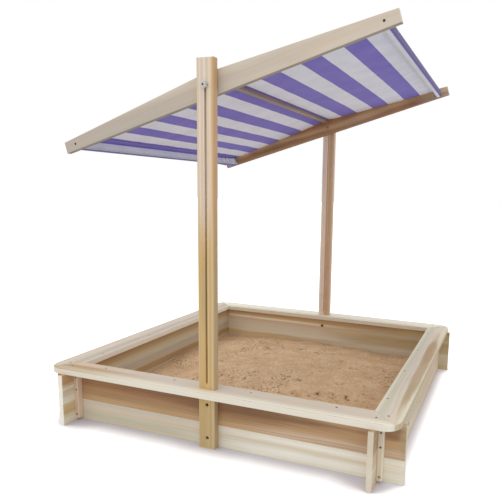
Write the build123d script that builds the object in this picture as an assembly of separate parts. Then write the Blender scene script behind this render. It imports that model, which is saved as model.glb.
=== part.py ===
from build123d import *
import os
from math import sqrt

# Children's wooden sandbox with a striped canopy that tilts, slides down two slotted
# posts and lies on the rim as the cover. Millimetres, +Z up, origin on the ground
# in the middle of the box, +X along the front towards the raised end of the canopy.

# ---- wall boards --------------------------------------------------------------
BOARD_T = 16.0
BOARD_HEIGHTS = (71.0, 100.0)  # of the lower and the upper boards
SIDE_INNER = 511.0  # from the middle to the inner face of a side wall
END_INNER = 514.0  # from the middle to the inner face of the front or back wall
END_STUB = 73.0  # of the front and back boards, past the side walls
SIDE_STUB = 70.0  # of the side boards, past the front and back walls
LAP_PLAY = 0.2  # play on each face of a cross lap
BOARD_EASE = 1.5  # rounding of the long edges

# ---- outer side boards, screwed to spacers outside the side walls -------------
SPACER_T = 17.0
SPACER_W = 30.0
SIDE_SKIN_PLAY = 0.5  # from the end of an outer board to the front or back wall

# ---- upright battens in the corners outside the front and back walls ----------
BATTEN_W = 16.0
BATTEN_D = 20.0
BATTEN_LIFT = 10.0  # foot above the ground
BATTEN_SCREW_LOW = 22.0  # lowest screw above the ground
BATTEN_SCREW_DROPS = (63.0, 21.0)  # the others below the top of the wall

# ---- rim (the seat) -----------------------------------------------------------
RIM_W = 86.0
RIM_LIP_SIDE = 7.0  # of the left and right rails, inside the side walls
RIM_LIP_END = 15.0  # of the front and back rails, inside the front and back walls
RIM_T = 18.0
RIM_CORNER_R = 50.0
RIM_EASE = 3.0
MITRE_GAP = 0.6
RIM_SCREWS = 4  # along each rail, apart from those in the wall stubs
RIM_SCREW_SPAN = 800.0
END_STUB_SCREW = 21.0  # in the stubs of the front and back walls, past the side walls
SIDE_STUB_SCREW = 15.0  # in the stubs of the side walls, past the front and back walls

# ---- posts --------------------------------------------------------------------
POST_W = 55.5
POST_D = 21.0
POST_H = 1140.0
POST_EASE = 2.5
POST_TOP_EASE = 2.0
MORTISE_PLAY = 0.5
SLOT_W = 7.0
SLOT_ABOVE_RIM = 16.0
SLOT_BELOW_TOP = 70.0
SLOT_TOP_GAP = 1.0  # pivot bolt below the top of the slot, canopy raised
POST_BOLT_LOW = 33.0  # lower bolt above the ground
POST_BOLT_DROP = 32.0  # upper bolt below the top of the wall
COUNTERBORE_R = 6.0
COUNTERBORE_DEPTH = 12.0

# ---- canopy frame, in its own plane: along the slope, and up from the lower edge
TILT = 16.6  # degrees, raised end towards +X
BEAM_L = 1096.0
BEAM_T = 18.0
BEAM_END_H = 35.0
BEAM_PEAK_H = 68.0
PIVOT_UP = 28.0  # pivot above the lower edge
BEAM_EASE = 1.5
BAR_W = 16.0
BAR_H = 30.0
BAR_FROM_END = 41.0  # middle of an end bar from the end of the beams
BAR_UP = 4.0  # underside of an end bar above the lower edge of the beams
RIDGE_W = 14.0
RIDGE_H = 14.0
CLOTH_T = 1.5
CLOTH_SIDE_GAP = 0.6
SLEEVE_R = 3.0  # outer corner of the sleeve round an end bar

# ---- pivot bolts, washers and knobs -------------------------------------------
RUN_GAP = 0.3  # between faces that turn or slide past each other
PIVOT_R = 3.0
PIVOT_PLAY = 0.05
PIVOT_HEAD_R = 7.0
PIVOT_HEAD_H = 3.5
INNER_WASHER_R = 10.0
INNER_WASHER_T = 3.0
OUTER_WASHER_R = 9.0
OUTER_WASHER_T = 1.6
WASHER_PLAY = 0.1
KNOB_CORE_R = 7.2
KNOB_LOBE_R = 3.0
KNOB_LOBE_STEP = 6.8
KNOB_LOBES = 6
KNOB_T = 11.0
KNOB_EASE = 1.2
INSERT_R = 4.5
INSERT_L = 9.0
INSERT_LIP = 1.0  # of the knob's face, over the end of the insert
BOLT_END_SUNK = 4.0  # bolt end below the knob's face

# ---- fasteners that hold the box ----------------------------------------------
M6_R = 3.0
M6_HEAD_R = 5.0  # low round head with a hexagon socket
M6_HEAD_H = 4.0
M6_HEAD_EASE = 0.5
M6_SOCKET_FLATS = 4.0
M6_SOCKET_DEPTH = 2.3
M6_WASHER_R = 5.6
M6_WASHER_T = 1.4
M6_NUT_FLATS = 10.0
M6_NUT_H = 5.0
M6_END_OUT = 1.2  # bolt end past the nut
HOLE_PLAY = 0.2
SCREW_R = 1.9
SCREW_POINT_R = 0.5
SCREW_HEAD_R = 3.6
SCREW_HEAD_H = 2.6
SCREW_SUNK = 0.8  # head below the surface of the wood
SCREW_TIP_H = 4.0
RECESS_L = 4.2  # cross recess in the head
RECESS_W = 0.9
RECESS_DEPTH = 1.6
RIM_SCREW_L = 45.0
BATTEN_SCREW_L = 32.0
SKIN_SCREW_L = 40.0
BAR_SCREW_L = 50.0

# ---- sand ---------------------------------------------------------------------
SAND_LEVEL = 38.0  # along the walls
SAND_TOP = 80.0  # top of the heap
SAND_HEAP_R = 3000.0
SAND_HEAP_AT = (-40.0, 90.0)
SAND_PLAY = 0.3

# ---- worked out from the sizes above ------------------------------------------
BOARD_ROWS = (
    ("lower", 0.0, BOARD_HEIGHTS[0]),  # name, underside and height
    ("upper", BOARD_HEIGHTS[0], BOARD_HEIGHTS[1]),
)
WALL_H = sum(BOARD_HEIGHTS)
RIM_TOP = WALL_H + RIM_T
SLOT_BOTTOM = RIM_TOP + SLOT_ABOVE_RIM
SLOT_TOP = POST_H - SLOT_BELOW_TOP
POST_BOLT_HEIGHTS = (POST_BOLT_LOW, WALL_H - POST_BOLT_DROP)
SIDE_MIDDLE = SIDE_INNER + BOARD_T / 2
END_MIDDLE = END_INNER + BOARD_T / 2
SIDE_OUTER = SIDE_INNER + BOARD_T
END_OUTER = END_INNER + BOARD_T
RIM_HALF_X = SIDE_INNER - RIM_LIP_SIDE + RIM_W
RIM_HALF_Y = END_INNER - RIM_LIP_END + RIM_W
SKIN_MIDDLE = SIDE_OUTER + SPACER_T + BOARD_T / 2
SKIN_OUTER = SIDE_OUTER + SPACER_T + BOARD_T
SKIN_REACH = END_INNER - SIDE_SKIN_PLAY
POST_OUTER = END_OUTER + POST_D
PIVOT_Z = SLOT_TOP - SLOT_TOP_GAP - PIVOT_R
BEAM_OUTER = END_OUTER - INNER_WASHER_T - 2 * RUN_GAP
BEAM_INNER = BEAM_OUTER - BEAM_T
OUTER_WASHER_AT = POST_OUTER + RUN_GAP
KNOB_AT = OUTER_WASHER_AT + OUTER_WASHER_T + RUN_GAP
BAR_STEP = BEAM_L / 2 - BAR_FROM_END
BAR_SPOTS = (-BAR_STEP, BAR_STEP)
RIDGE_TOP = BEAM_PEAK_H - CLOTH_T - 0.5 * RIDGE_W * (BEAM_PEAK_H - BEAM_END_H) / (BEAM_L / 2)
UP = (Align.CENTER, Align.CENTER, Align.MIN)
CUT = 1.0  # how far a cutting tool runs past a face

os.makedirs("parts", exist_ok=True)


def save(shape, node):
    """Write one node; a list of solids goes out as one group."""
    export_step(Compound(children=shape) if isinstance(shape, list) else shape, f"parts/{node}.step")


def plank(length, thick, height, ease):
    """A board along X, centred, standing on Z = 0, its long edges rounded."""
    return fillet(Box(length, thick, height, align=UP).edges().filter_by(Axis.X), ease)


def hexagon_bar(flats, height):
    """A six-sided block on Z = 0, such as a nut."""
    return extrude(RegularPolygon(flats / sqrt(3), 6), height)


# ---- screws, each with its head up at Z = 0 of its own place --------------------
def wood_screw(length):
    """A countersunk cross-head screw, pointing down, its head sunk below Z = 0."""
    head = Cone(SCREW_R, SCREW_HEAD_R, SCREW_HEAD_H, align=UP)
    for along, across in ((RECESS_L, RECESS_W), (RECESS_W, RECESS_L)):
        head -= Pos(0, 0, SCREW_HEAD_H) * Box(along, across, 2 * RECESS_DEPTH)
    shank_l = length - SCREW_HEAD_H - SCREW_TIP_H
    shank = Pos(0, 0, -shank_l) * Cylinder(SCREW_R, shank_l, align=UP)
    tip = Pos(0, 0, -shank_l - SCREW_TIP_H) * Cone(SCREW_POINT_R, SCREW_R, SCREW_TIP_H, align=UP)
    return Pos(0, 0, -SCREW_SUNK - SCREW_HEAD_H) * (head + shank + tip)


def wood_screw_hole(length):
    """The countersunk hole that a screw leaves, open above Z = 0."""
    top_r = SCREW_HEAD_R + HOLE_PLAY
    well = Pos(0, 0, -SCREW_SUNK) * Cylinder(top_r, SCREW_SUNK + CUT, align=UP)
    sink = Pos(0, 0, -SCREW_SUNK - SCREW_HEAD_H) * Cone(SCREW_R + HOLE_PLAY, top_r, SCREW_HEAD_H, align=UP)
    deep = SCREW_SUNK + length + HOLE_PLAY
    return well + sink + Pos(0, 0, -deep) * Cylinder(SCREW_R + HOLE_PLAY, deep, align=UP)


def facing(x, y, z, direction):
    """A place whose own +Z points in the given direction."""
    return Plane(origin=(x, y, z), z_dir=direction).location


def drilled(shape, places, length):
    """The shape with a screw hole at every place that reaches it."""
    hole = wood_screw_hole(length)
    box = shape.bounding_box()
    reach = length + SCREW_HEAD_R
    near = [
        p
        for p in places
        if box.min.X - reach < p.position.X < box.max.X + reach
        and box.min.Y - reach < p.position.Y < box.max.Y + reach
        and box.min.Z - reach < p.position.Z < box.max.Z + reach
    ]
    for place in near:
        shape = shape - place * hole
    return shape


# ---- where the screws and bolts go ----------------------------------------------
def rim_screw_places():
    """Down through the rim: along each wall, and into the wall stubs at the corners."""
    steps = [RIM_SCREW_SPAN * (i / (RIM_SCREWS - 1) - 0.5) for i in range(RIM_SCREWS)]
    end_stub = SIDE_OUTER + END_STUB_SCREW
    side_stub = END_OUTER + SIDE_STUB_SCREW
    spots = []
    for s in (-1, 1):
        spots += [(x, s * END_MIDDLE) for x in [*steps, -end_stub, end_stub]]
        spots += [(s * SIDE_MIDDLE, y) for y in [*steps, -side_stub, side_stub]]
    return [facing(x, y, RIM_TOP, (0, 0, 1)) for x, y in spots]


def batten_middles():
    """Middle of each corner batten, as (name, x, y); the back pair is the front pair turned."""
    near_left = -SIDE_INNER + LAP_PLAY + BATTEN_W / 2
    near_right = SIDE_OUTER + LAP_PLAY + BATTEN_W / 2
    y = END_OUTER + BATTEN_D / 2
    return [
        ("front_left", near_left, -y),
        ("front_right", near_right, -y),
        ("back_right", -near_left, y),
        ("back_left", -near_right, y),
    ]


def batten_screw_places():
    """Through each corner batten into the front or back wall."""
    heights = [BATTEN_SCREW_LOW, *(WALL_H - drop for drop in BATTEN_SCREW_DROPS)]
    places = []
    for _, x, y in batten_middles():
        out = 1 if y > 0 else -1
        places += [facing(x, y + out * BATTEN_D / 2, z, (0, out, 0)) for z in heights]
    return places


def spacer_middles():
    """Middle of each spacer along Y: one in the middle and one near each end."""
    return (-(SKIN_REACH - SPACER_W / 2), 0.0, SKIN_REACH - SPACER_W / 2)


def skin_screw_places():
    """Through each outer side board, at each spacer, half way up the board."""
    places = []
    for s in (-1, 1):
        for y in spacer_middles():
            for _, foot, height in BOARD_ROWS:
                places.append(facing(s * SKIN_OUTER, y, foot + height / 2, (s, 0, 0)))
    return places


# ---- walls ----------------------------------------------------------------------
def wall_board(notch_x, stub, height, notch_z):
    """A wall board along X, with a lap notch at each end that starts at height notch_z."""
    board = plank(2 * (notch_x + BOARD_T / 2 + stub), BOARD_T, height, BOARD_EASE)
    notch = Box(BOARD_T + 2 * LAP_PLAY, BOARD_T + 2 * CUT, height / 2 + LAP_PLAY + CUT, align=UP)
    for s in (-1, 1):
        board -= Pos(s * notch_x, 0, notch_z) * notch
    return board


def end_board(height):
    """A front or back board: it runs along X and is notched from above."""
    return wall_board(SIDE_MIDDLE, END_STUB, height, height / 2 - LAP_PLAY)


def side_board(height):
    """A side board: it runs along Y and is notched from below."""
    return Rot(0, 0, 90) * wall_board(END_MIDDLE, SIDE_STUB, height, -CUT)


def make_walls():
    rim_places = rim_screw_places()
    batten_places = batten_screw_places()
    bolt_hole = Rot(90, 0, 0) * Cylinder(M6_R + HOLE_PLAY, BOARD_T + 2 * CUT)
    for level, foot, board_h in BOARD_ROWS:
        for s, side in ((-1, "front"), (1, "back")):
            board = Pos(0, s * END_MIDDLE, foot) * end_board(board_h)
            for height in POST_BOLT_HEIGHTS:
                board -= Pos(0, s * END_MIDDLE, height) * bolt_hole
            board = drilled(board, rim_places, RIM_SCREW_L)
            save(drilled(board, batten_places, BATTEN_SCREW_L), f"wall_{side}_{level}")
        for s, side in ((-1, "left"), (1, "right")):
            board = Pos(s * SIDE_MIDDLE, 0, foot) * side_board(board_h)
            board = drilled(board, rim_places, RIM_SCREW_L)
            save(drilled(board, skin_screw_places(), SKIN_SCREW_L), f"wall_{side}_{level}")


def make_side_skins():
    """The outer side boards and the spacers that hold them off the side walls."""
    places = skin_screw_places()
    for s, side in ((-1, "left"), (1, "right")):
        for level, foot, board_h in BOARD_ROWS:
            board = Rot(0, 0, 90) * plank(2 * SKIN_REACH, BOARD_T, board_h, BOARD_EASE)
            board = Pos(s * SKIN_MIDDLE, 0, foot) * board
            save(drilled(board, places, SKIN_SCREW_L), f"side_skin_{side}_{level}")
        x = s * (SIDE_OUTER + SPACER_T / 2)
        spacers = [Pos(x, y, 0) * Box(SPACER_T, SPACER_W, WALL_H, align=UP) for y in spacer_middles()]
        save([drilled(block, places, SKIN_SCREW_L) for block in spacers], f"side_spacers_{side}")
    save([place * wood_screw(SKIN_SCREW_L) for place in places], "side_skin_screws")


def make_battens():
    places = batten_screw_places()
    height = WALL_H - BATTEN_LIFT
    for name, x, y in batten_middles():
        batten = Box(BATTEN_W, BATTEN_D, height, align=UP)
        batten = fillet(batten.edges().filter_by(Axis.Z), BOARD_EASE)
        save(drilled(Pos(x, y, BATTEN_LIFT) * batten, places, BATTEN_SCREW_L), f"corner_batten_{name}")
    save([place * wood_screw(BATTEN_SCREW_L) for place in places], "corner_batten_screws")


# ---- rim ------------------------------------------------------------------------
def mitre_wedge(half_along, half_across):
    """The part of the plan that one rail takes: a wedge towards -Y, between the mitres."""
    far = 2 * max(half_along, half_across)
    off = half_along - half_across - MITRE_GAP / 2 * sqrt(2)
    return make_face(Polyline((0, off), (-far, off - far), (far, off - far), close=True).edges())


def make_rim():
    ring = RectangleRounded(2 * RIM_HALF_X, 2 * RIM_HALF_Y, RIM_CORNER_R)
    ring -= Rectangle(2 * (RIM_HALF_X - RIM_W), 2 * (RIM_HALF_Y - RIM_W))
    ring = Pos(0, 0, WALL_H) * extrude(ring, RIM_T)
    ring = fillet(ring.faces().sort_by(Axis.Z)[-1].edges(), RIM_EASE)
    hole_d = POST_D + 2 * MORTISE_PLAY
    mortise = Box(POST_W + 2 * MORTISE_PLAY, hole_d, RIM_T + 2 * CUT, align=UP)
    for s in (-1, 1):
        ring -= Pos(0, s * (END_OUTER + POST_D / 2), WALL_H - CUT) * mortise
    ends = mitre_wedge(RIM_HALF_X, RIM_HALF_Y)
    sides = mitre_wedge(RIM_HALF_Y, RIM_HALF_X)
    rails = (("front", ends, 0), ("right", sides, 90), ("back", ends, 180), ("left", sides, 270))
    for side, wedge, turn in rails:
        block = Rot(0, 0, turn) * extrude(Pos(0, 0, WALL_H - CUT) * wedge, RIM_T + 2 * CUT)
        save(drilled(ring & block, rim_screw_places(), RIM_SCREW_L), f"rim_{side}")
    save([place * wood_screw(RIM_SCREW_L) for place in rim_screw_places()], "rim_screws")


# ---- posts ----------------------------------------------------------------------
def front_and_back(shape):
    """The front piece and its copy at the back, turned half round the middle."""
    return [shape, Rot(0, 0, 180) * shape]


def make_posts():
    post = Box(POST_W, POST_D, POST_H, align=UP)
    post = fillet(post.edges().filter_by(Axis.Z), POST_EASE)
    post = fillet(post.faces().sort_by(Axis.Z)[-1].edges(), POST_TOP_EASE)
    slot_h = SLOT_TOP - SLOT_BOTTOM
    slot = Plane.XZ * SlotOverall(slot_h, SLOT_W, rotation=90)
    slot = Pos(0, 0, SLOT_BOTTOM + slot_h / 2) * extrude(slot, POST_D, both=True)
    post = post - slot
    for height in POST_BOLT_HEIGHTS:
        bore = Rot(90, 0, 0) * Cylinder(M6_R + HOLE_PLAY, POST_D + 2 * CUT)
        well_d = COUNTERBORE_DEPTH + CUT
        well = Rot(90, 0, 0) * Cylinder(COUNTERBORE_R, well_d)
        post -= Pos(0, 0, height) * bore
        post -= Pos(0, -POST_D / 2 - CUT + well_d / 2, height) * well
    post = Pos(0, -END_OUTER - POST_D / 2, 0) * post
    for side, piece in zip(("front", "back"), front_and_back(post)):
        save(piece, f"post_{side}")


def post_bolt():
    """A low-headed socket bolt along +Z, the underside of its head at Z = 0."""
    grip = POST_D - COUNTERBORE_DEPTH + BOARD_T + 2 * M6_WASHER_T
    length = grip + M6_NUT_H + M6_END_OUT
    head = Cylinder(M6_HEAD_R, M6_HEAD_H, align=UP)
    head = fillet(head.faces().sort_by(Axis.Z)[0].edges(), M6_HEAD_EASE)
    head -= Pos(0, 0, -CUT) * hexagon_bar(M6_SOCKET_FLATS, M6_SOCKET_DEPTH + CUT)
    return Pos(0, 0, -M6_HEAD_H) * head + Cylinder(M6_R, length, align=UP)


def ring_washer(outer_r, inner_r, thick):
    """A flat washer on Z = 0."""
    return Cylinder(outer_r, thick, align=UP) - Cylinder(inner_r, thick, align=UP)


def make_post_bolts():
    """Two bolts through each post and the wall behind it, head in a counterbore outside."""
    bolts, washers, nuts = [], [], []
    seat = -POST_OUTER + COUNTERBORE_DEPTH
    nut = hexagon_bar(M6_NUT_FLATS, M6_NUT_H) - Cylinder(M6_R + PIVOT_PLAY, M6_NUT_H, align=UP)
    washer = ring_washer(M6_WASHER_R, M6_R + HOLE_PLAY, M6_WASHER_T)
    for height in POST_BOLT_HEIGHTS:
        outside = facing(0, seat - M6_WASHER_T, height, (0, 1, 0))
        inside = facing(0, -END_INNER, height, (0, 1, 0))
        bolts += front_and_back(outside * post_bolt())
        washers += front_and_back(outside * washer) + front_and_back(inside * washer)
        nuts += front_and_back(inside * (Pos(0, 0, M6_WASHER_T) * nut))
    save(bolts, "post_bolts")
    save(washers, "post_bolt_washers")
    save(nuts, "post_bolt_nuts")
    return bolts + washers + nuts


# ---- canopy ---------------------------------------------------------------------
def in_canopy(shape):
    """Move a shape from the canopy's own plane, pivot at (0, 0, PIVOT_UP), to its place."""
    return Pos(0, 0, PIVOT_Z) * (Rot(0, -TILT, 0) * (Pos(0, 0, -PIVOT_UP) * shape))


def side_profile(points, reach):
    """A closed outline of (along, up) points, extruded to +reach and -reach along Y."""
    return extrude(Plane.XZ * make_face(Polyline(*points, close=True).edges()), reach, both=True)


def beam_screw_places():
    """Through each beam into the ends of the bars, in the canopy's own plane."""
    places = []
    for s in (-1, 1):
        for along in BAR_SPOTS:
            places.append(facing(along, s * BEAM_OUTER, BAR_UP + BAR_H / 2, (0, s, 0)))
        places.append(facing(0, s * BEAM_OUTER, RIDGE_TOP - RIDGE_H / 2, (0, s, 0)))
    return places


def make_beams():
    half = BEAM_L / 2
    outline = [(-half, 0), (half, 0), (half, BEAM_END_H), (0, BEAM_PEAK_H), (-half, BEAM_END_H)]
    beam = side_profile(outline, BEAM_T / 2)
    rims = beam.edges().filter_by(Axis.Y, reverse=True)
    beam = fillet(rims, BEAM_EASE)
    hole = Rot(90, 0, 0) * Cylinder(PIVOT_R + PIVOT_PLAY, BEAM_T + 2 * CUT)
    beam -= Pos(0, 0, PIVOT_UP) * hole
    for s, side in ((-1, "front"), (1, "back")):
        placed = Pos(0, s * (BEAM_INNER + BEAM_T / 2), 0) * beam
        save(in_canopy(drilled(placed, beam_screw_places(), BAR_SCREW_L)), f"canopy_beam_{side}")


def make_bars():
    places = beam_screw_places()
    end_bar = fillet(Box(BAR_W, 2 * BEAM_INNER, BAR_H, align=UP).edges().filter_by(Axis.Y), BOARD_EASE)
    for along, name in zip(BAR_SPOTS, ("low", "high")):
        bar = drilled(Pos(along, 0, BAR_UP) * end_bar, places, BAR_SCREW_L)
        save(in_canopy(bar), f"canopy_bar_{name}")
    ridge = Box(RIDGE_W, 2 * BEAM_INNER, RIDGE_H, align=UP)
    ridge = Pos(0, 0, RIDGE_TOP - RIDGE_H) * fillet(ridge.edges().filter_by(Axis.Y), BOARD_EASE)
    save(in_canopy(drilled(ridge, places, BAR_SCREW_L)), "canopy_bar_ridge")
    save([in_canopy(place * wood_screw(BAR_SCREW_L)) for place in places], "canopy_screws")


def make_cloth():
    """The striped cloth: a sleeve round each end bar and one sheet over the ridge bar."""
    reach = BEAM_INNER - CLOTH_SIDE_GAP
    top = BAR_UP + BAR_H
    ridge = RIDGE_TOP
    under = [(-BAR_STEP, top), (-RIDGE_W / 2, ridge), (RIDGE_W / 2, ridge), (BAR_STEP, top)]
    over = [(along, up + CLOTH_T) for along, up in reversed(under)]
    cloth = side_profile(under + over, reach)
    for along in BAR_SPOTS:
        sleeve = RectangleRounded(BAR_W + 2 * CLOTH_T, BAR_H + 2 * CLOTH_T, SLEEVE_R)
        sleeve -= Rectangle(BAR_W, BAR_H)
        sleeve = extrude(Plane.XZ * sleeve, reach, both=True)
        cloth += Pos(along, 0, BAR_UP + BAR_H / 2) * sleeve
    save(in_canopy(cloth), "canopy_cloth")


# ---- pivots ---------------------------------------------------------------------
def pivot_bolt():
    """A round-headed bolt along +Z, the underside of its head at Z = 0."""
    length = KNOB_AT + KNOB_T - BOLT_END_SUNK - BEAM_INNER + RUN_GAP
    cap_r = (PIVOT_HEAD_R**2 + PIVOT_HEAD_H**2) / (2 * PIVOT_HEAD_H)
    ball = Pos(0, 0, cap_r - PIVOT_HEAD_H) * Rot(90, 0, 0) * Sphere(cap_r)
    head = ball & Pos(0, 0, -PIVOT_HEAD_H) * Cylinder(PIVOT_HEAD_R, PIVOT_HEAD_H, align=UP)
    return head + Cylinder(PIVOT_R, length, align=UP)


def knob():
    """A lobed hand knob on Z = 0, bored through for its threaded insert."""
    plan = Circle(KNOB_CORE_R)
    for place in PolarLocations(KNOB_LOBE_STEP, KNOB_LOBES):
        plan += place * Circle(KNOB_LOBE_R)
    body = extrude(plan, KNOB_T)
    body = fillet(body.faces().sort_by(Axis.Z)[-1].edges(), KNOB_EASE)
    body -= Cylinder(INSERT_R, INSERT_L, align=UP)
    return body - Cylinder(INSERT_R - INSERT_LIP, KNOB_T, align=UP)


def make_pivots():
    at_pivot = [facing(0, -distance, PIVOT_Z, (0, -1, 0)) for distance in (BEAM_INNER - RUN_GAP, KNOB_AT)]
    bolt = at_pivot[0] * pivot_bolt()
    grip = at_pivot[1] * knob()
    insert = at_pivot[1] * ring_washer(INSERT_R, PIVOT_R + PIVOT_PLAY, INSERT_L)
    for side, pieces in zip(("front", "back"), zip(*map(front_and_back, (bolt, grip, insert)))):
        for piece, name in zip(pieces, ("pivot_bolt", "knob", "knob_insert")):
            save(piece, f"{name}_{side}")
    hole_r = PIVOT_R + WASHER_PLAY
    inner = facing(0, -BEAM_OUTER - RUN_GAP, PIVOT_Z, (0, -1, 0))
    outer = facing(0, -OUTER_WASHER_AT, PIVOT_Z, (0, -1, 0))
    inner = inner * ring_washer(INNER_WASHER_R, hole_r, INNER_WASHER_T)
    outer = outer * ring_washer(OUTER_WASHER_R, hole_r, OUTER_WASHER_T)
    save(front_and_back(inner), "pivot_spacers")
    save(front_and_back(outer), "knob_washers")


# ---- sand -----------------------------------------------------------------------
def make_sand(fasteners):
    """The sand: level along the walls with a low heap, clear of the post bolts."""
    plan = (2 * (SIDE_INNER - SAND_PLAY), 2 * (END_INNER - SAND_PLAY))
    level = Box(*plan, SAND_LEVEL, align=UP)
    heap = Pos(*SAND_HEAP_AT, SAND_TOP - SAND_HEAP_R) * Rot(90, 0, 0) * Sphere(SAND_HEAP_R)
    sand = level + (Box(*plan, SAND_TOP + CUT, align=UP) & heap)
    for piece in fasteners:
        box = piece.bounding_box()
        if box.min.Z < SAND_TOP:
            size = box.size + Vector(2, 2, 2) * SAND_PLAY
            sand -= Pos(*box.center()) * Box(size.X, size.Y, size.Z)
    save(sand, "sand")


make_walls()
make_side_skins()
make_battens()
make_rim()
make_posts()
post_fasteners = make_post_bolts()
make_beams()
make_bars()
make_cloth()
make_pivots()
make_sand(post_fasteners)

closed = RIM_TOP + RUN_GAP + PIVOT_UP
print(f"pivot height open {PIVOT_Z:.2f}, closed {closed:.2f}, travel {PIVOT_Z - closed:.2f}")
print(f"knob face from {KNOB_AT:.2f} to {KNOB_AT + KNOB_T:.2f} from the middle")
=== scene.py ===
"""Wooden sandbox whose striped canopy tilts and slides down its posts to be the cover.

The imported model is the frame: its pieces keep their shape and place, and get their
finishes here. The striped cloth, its stitching, the sand and the studio are made here.
Lengths are in metres, but in millimetres or degrees where a name ends in _mm or _deg.
"""

import logging
import math
import random
from dataclasses import dataclass
from enum import Enum

import bpy
import numpy as np
from mathutils import Euler, Matrix, Vector, noise


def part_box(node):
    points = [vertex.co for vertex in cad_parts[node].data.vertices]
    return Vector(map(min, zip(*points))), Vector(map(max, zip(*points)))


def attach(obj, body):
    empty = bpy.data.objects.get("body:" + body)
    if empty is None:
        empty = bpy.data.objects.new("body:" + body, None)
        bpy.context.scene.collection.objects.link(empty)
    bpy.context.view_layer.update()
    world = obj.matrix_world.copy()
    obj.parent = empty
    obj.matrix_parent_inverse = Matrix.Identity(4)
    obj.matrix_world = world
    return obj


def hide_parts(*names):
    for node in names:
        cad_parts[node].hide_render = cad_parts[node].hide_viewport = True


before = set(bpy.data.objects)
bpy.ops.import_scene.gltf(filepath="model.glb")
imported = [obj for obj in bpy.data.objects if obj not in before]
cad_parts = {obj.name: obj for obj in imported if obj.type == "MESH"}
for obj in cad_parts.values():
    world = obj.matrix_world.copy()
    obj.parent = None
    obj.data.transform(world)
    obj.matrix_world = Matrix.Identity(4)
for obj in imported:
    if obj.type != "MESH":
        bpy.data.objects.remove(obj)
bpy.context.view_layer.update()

LOG = logging.getLogger("sandbox")
MM = 0.001
WHITE = (1.0, 1.0, 1.0, 1.0)
CANOPY_TILT_DEG = 16.6
CANOPY_PIVOT = Vector((0.0, 0.0, 1.066))
PIVOT_UP_MM = 28.0  # pivot above the lower edge of the beams

Colour = tuple[float, float, float, float]
Triple = tuple[float, float, float]


def linear(red: float, green: float, blue: float) -> Colour:
    """Turn a screen colour into the linear colour that a shader takes.

    Args:
        red: Red, 0 to 255.
        green: Green, 0 to 255.
        blue: Blue, 0 to 255.

    Returns:
        The linear colour, fully opaque.
    """
    def channel(value: float) -> float:
        """Turn one channel."""
        value /= 255
        return value / 12.92 if value <= 0.04045 else ((value + 0.055) / 1.055) ** 2.4

    return channel(red), channel(green), channel(blue), 1.0


# ---- shader maths ---------------------------------------------------------------
class Wire:
    """A value that flows through a shader. An expression on it adds its Math nodes."""

    def __init__(self, graph: "Graph", socket: bpy.types.NodeSocket) -> None:
        """Wrap an output socket of the graph."""
        self.graph = graph
        self.socket = socket

    def _math(self, operation: str, *terms: "Wire | float") -> "Wire":
        """Add a Math node on the terms, in order."""
        return self.graph.node("ShaderNodeMath", {"operation": operation}, dict(enumerate(terms)))

    def __add__(self, other: "Wire | float") -> "Wire":
        """Sum."""
        return self._math("ADD", self, other)

    __radd__ = __add__

    def __sub__(self, other: "Wire | float") -> "Wire":
        """Difference."""
        return self._math("SUBTRACT", self, other)

    def __rsub__(self, other: float) -> "Wire":
        """Reflected difference."""
        return self._math("SUBTRACT", other, self)

    def __mul__(self, other: "Wire | float") -> "Wire":
        """Product."""
        return self._math("MULTIPLY", self, other)

    __rmul__ = __mul__

    def __truediv__(self, other: "Wire | float") -> "Wire":
        """Quotient."""
        return self._math("DIVIDE", self, other)

    def __pow__(self, other: "Wire | float") -> "Wire":
        """Power."""
        return self._math("POWER", self, other)

    def fraction(self) -> "Wire":
        """The part after the decimal point."""
        return self._math("FRACT", self)

    def size(self) -> "Wire":
        """The value without its sign."""
        return self._math("ABSOLUTE", self)

    def sine(self) -> "Wire":
        """Sine of the value in radians."""
        return self._math("SINE", self)

    def root(self) -> "Wire":
        """Square root."""
        return self._math("SQRT", self)

    def fade(self, reach: float) -> "Wire":
        """A bell that is 1 at 0 and fades out over the reach."""
        scaled = self / reach
        return self._math("EXPONENT", scaled * scaled * -1.0)

    def step(self, low: float, high: float) -> "Wire":
        """Rise smoothly from 0 at low to 1 at high, or fall where low is the larger."""
        links = {"Value": self, "From Min": low, "From Max": high}
        return self.graph.node("ShaderNodeMapRange", {"interpolation_type": "SMOOTHSTEP"}, links)


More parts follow.
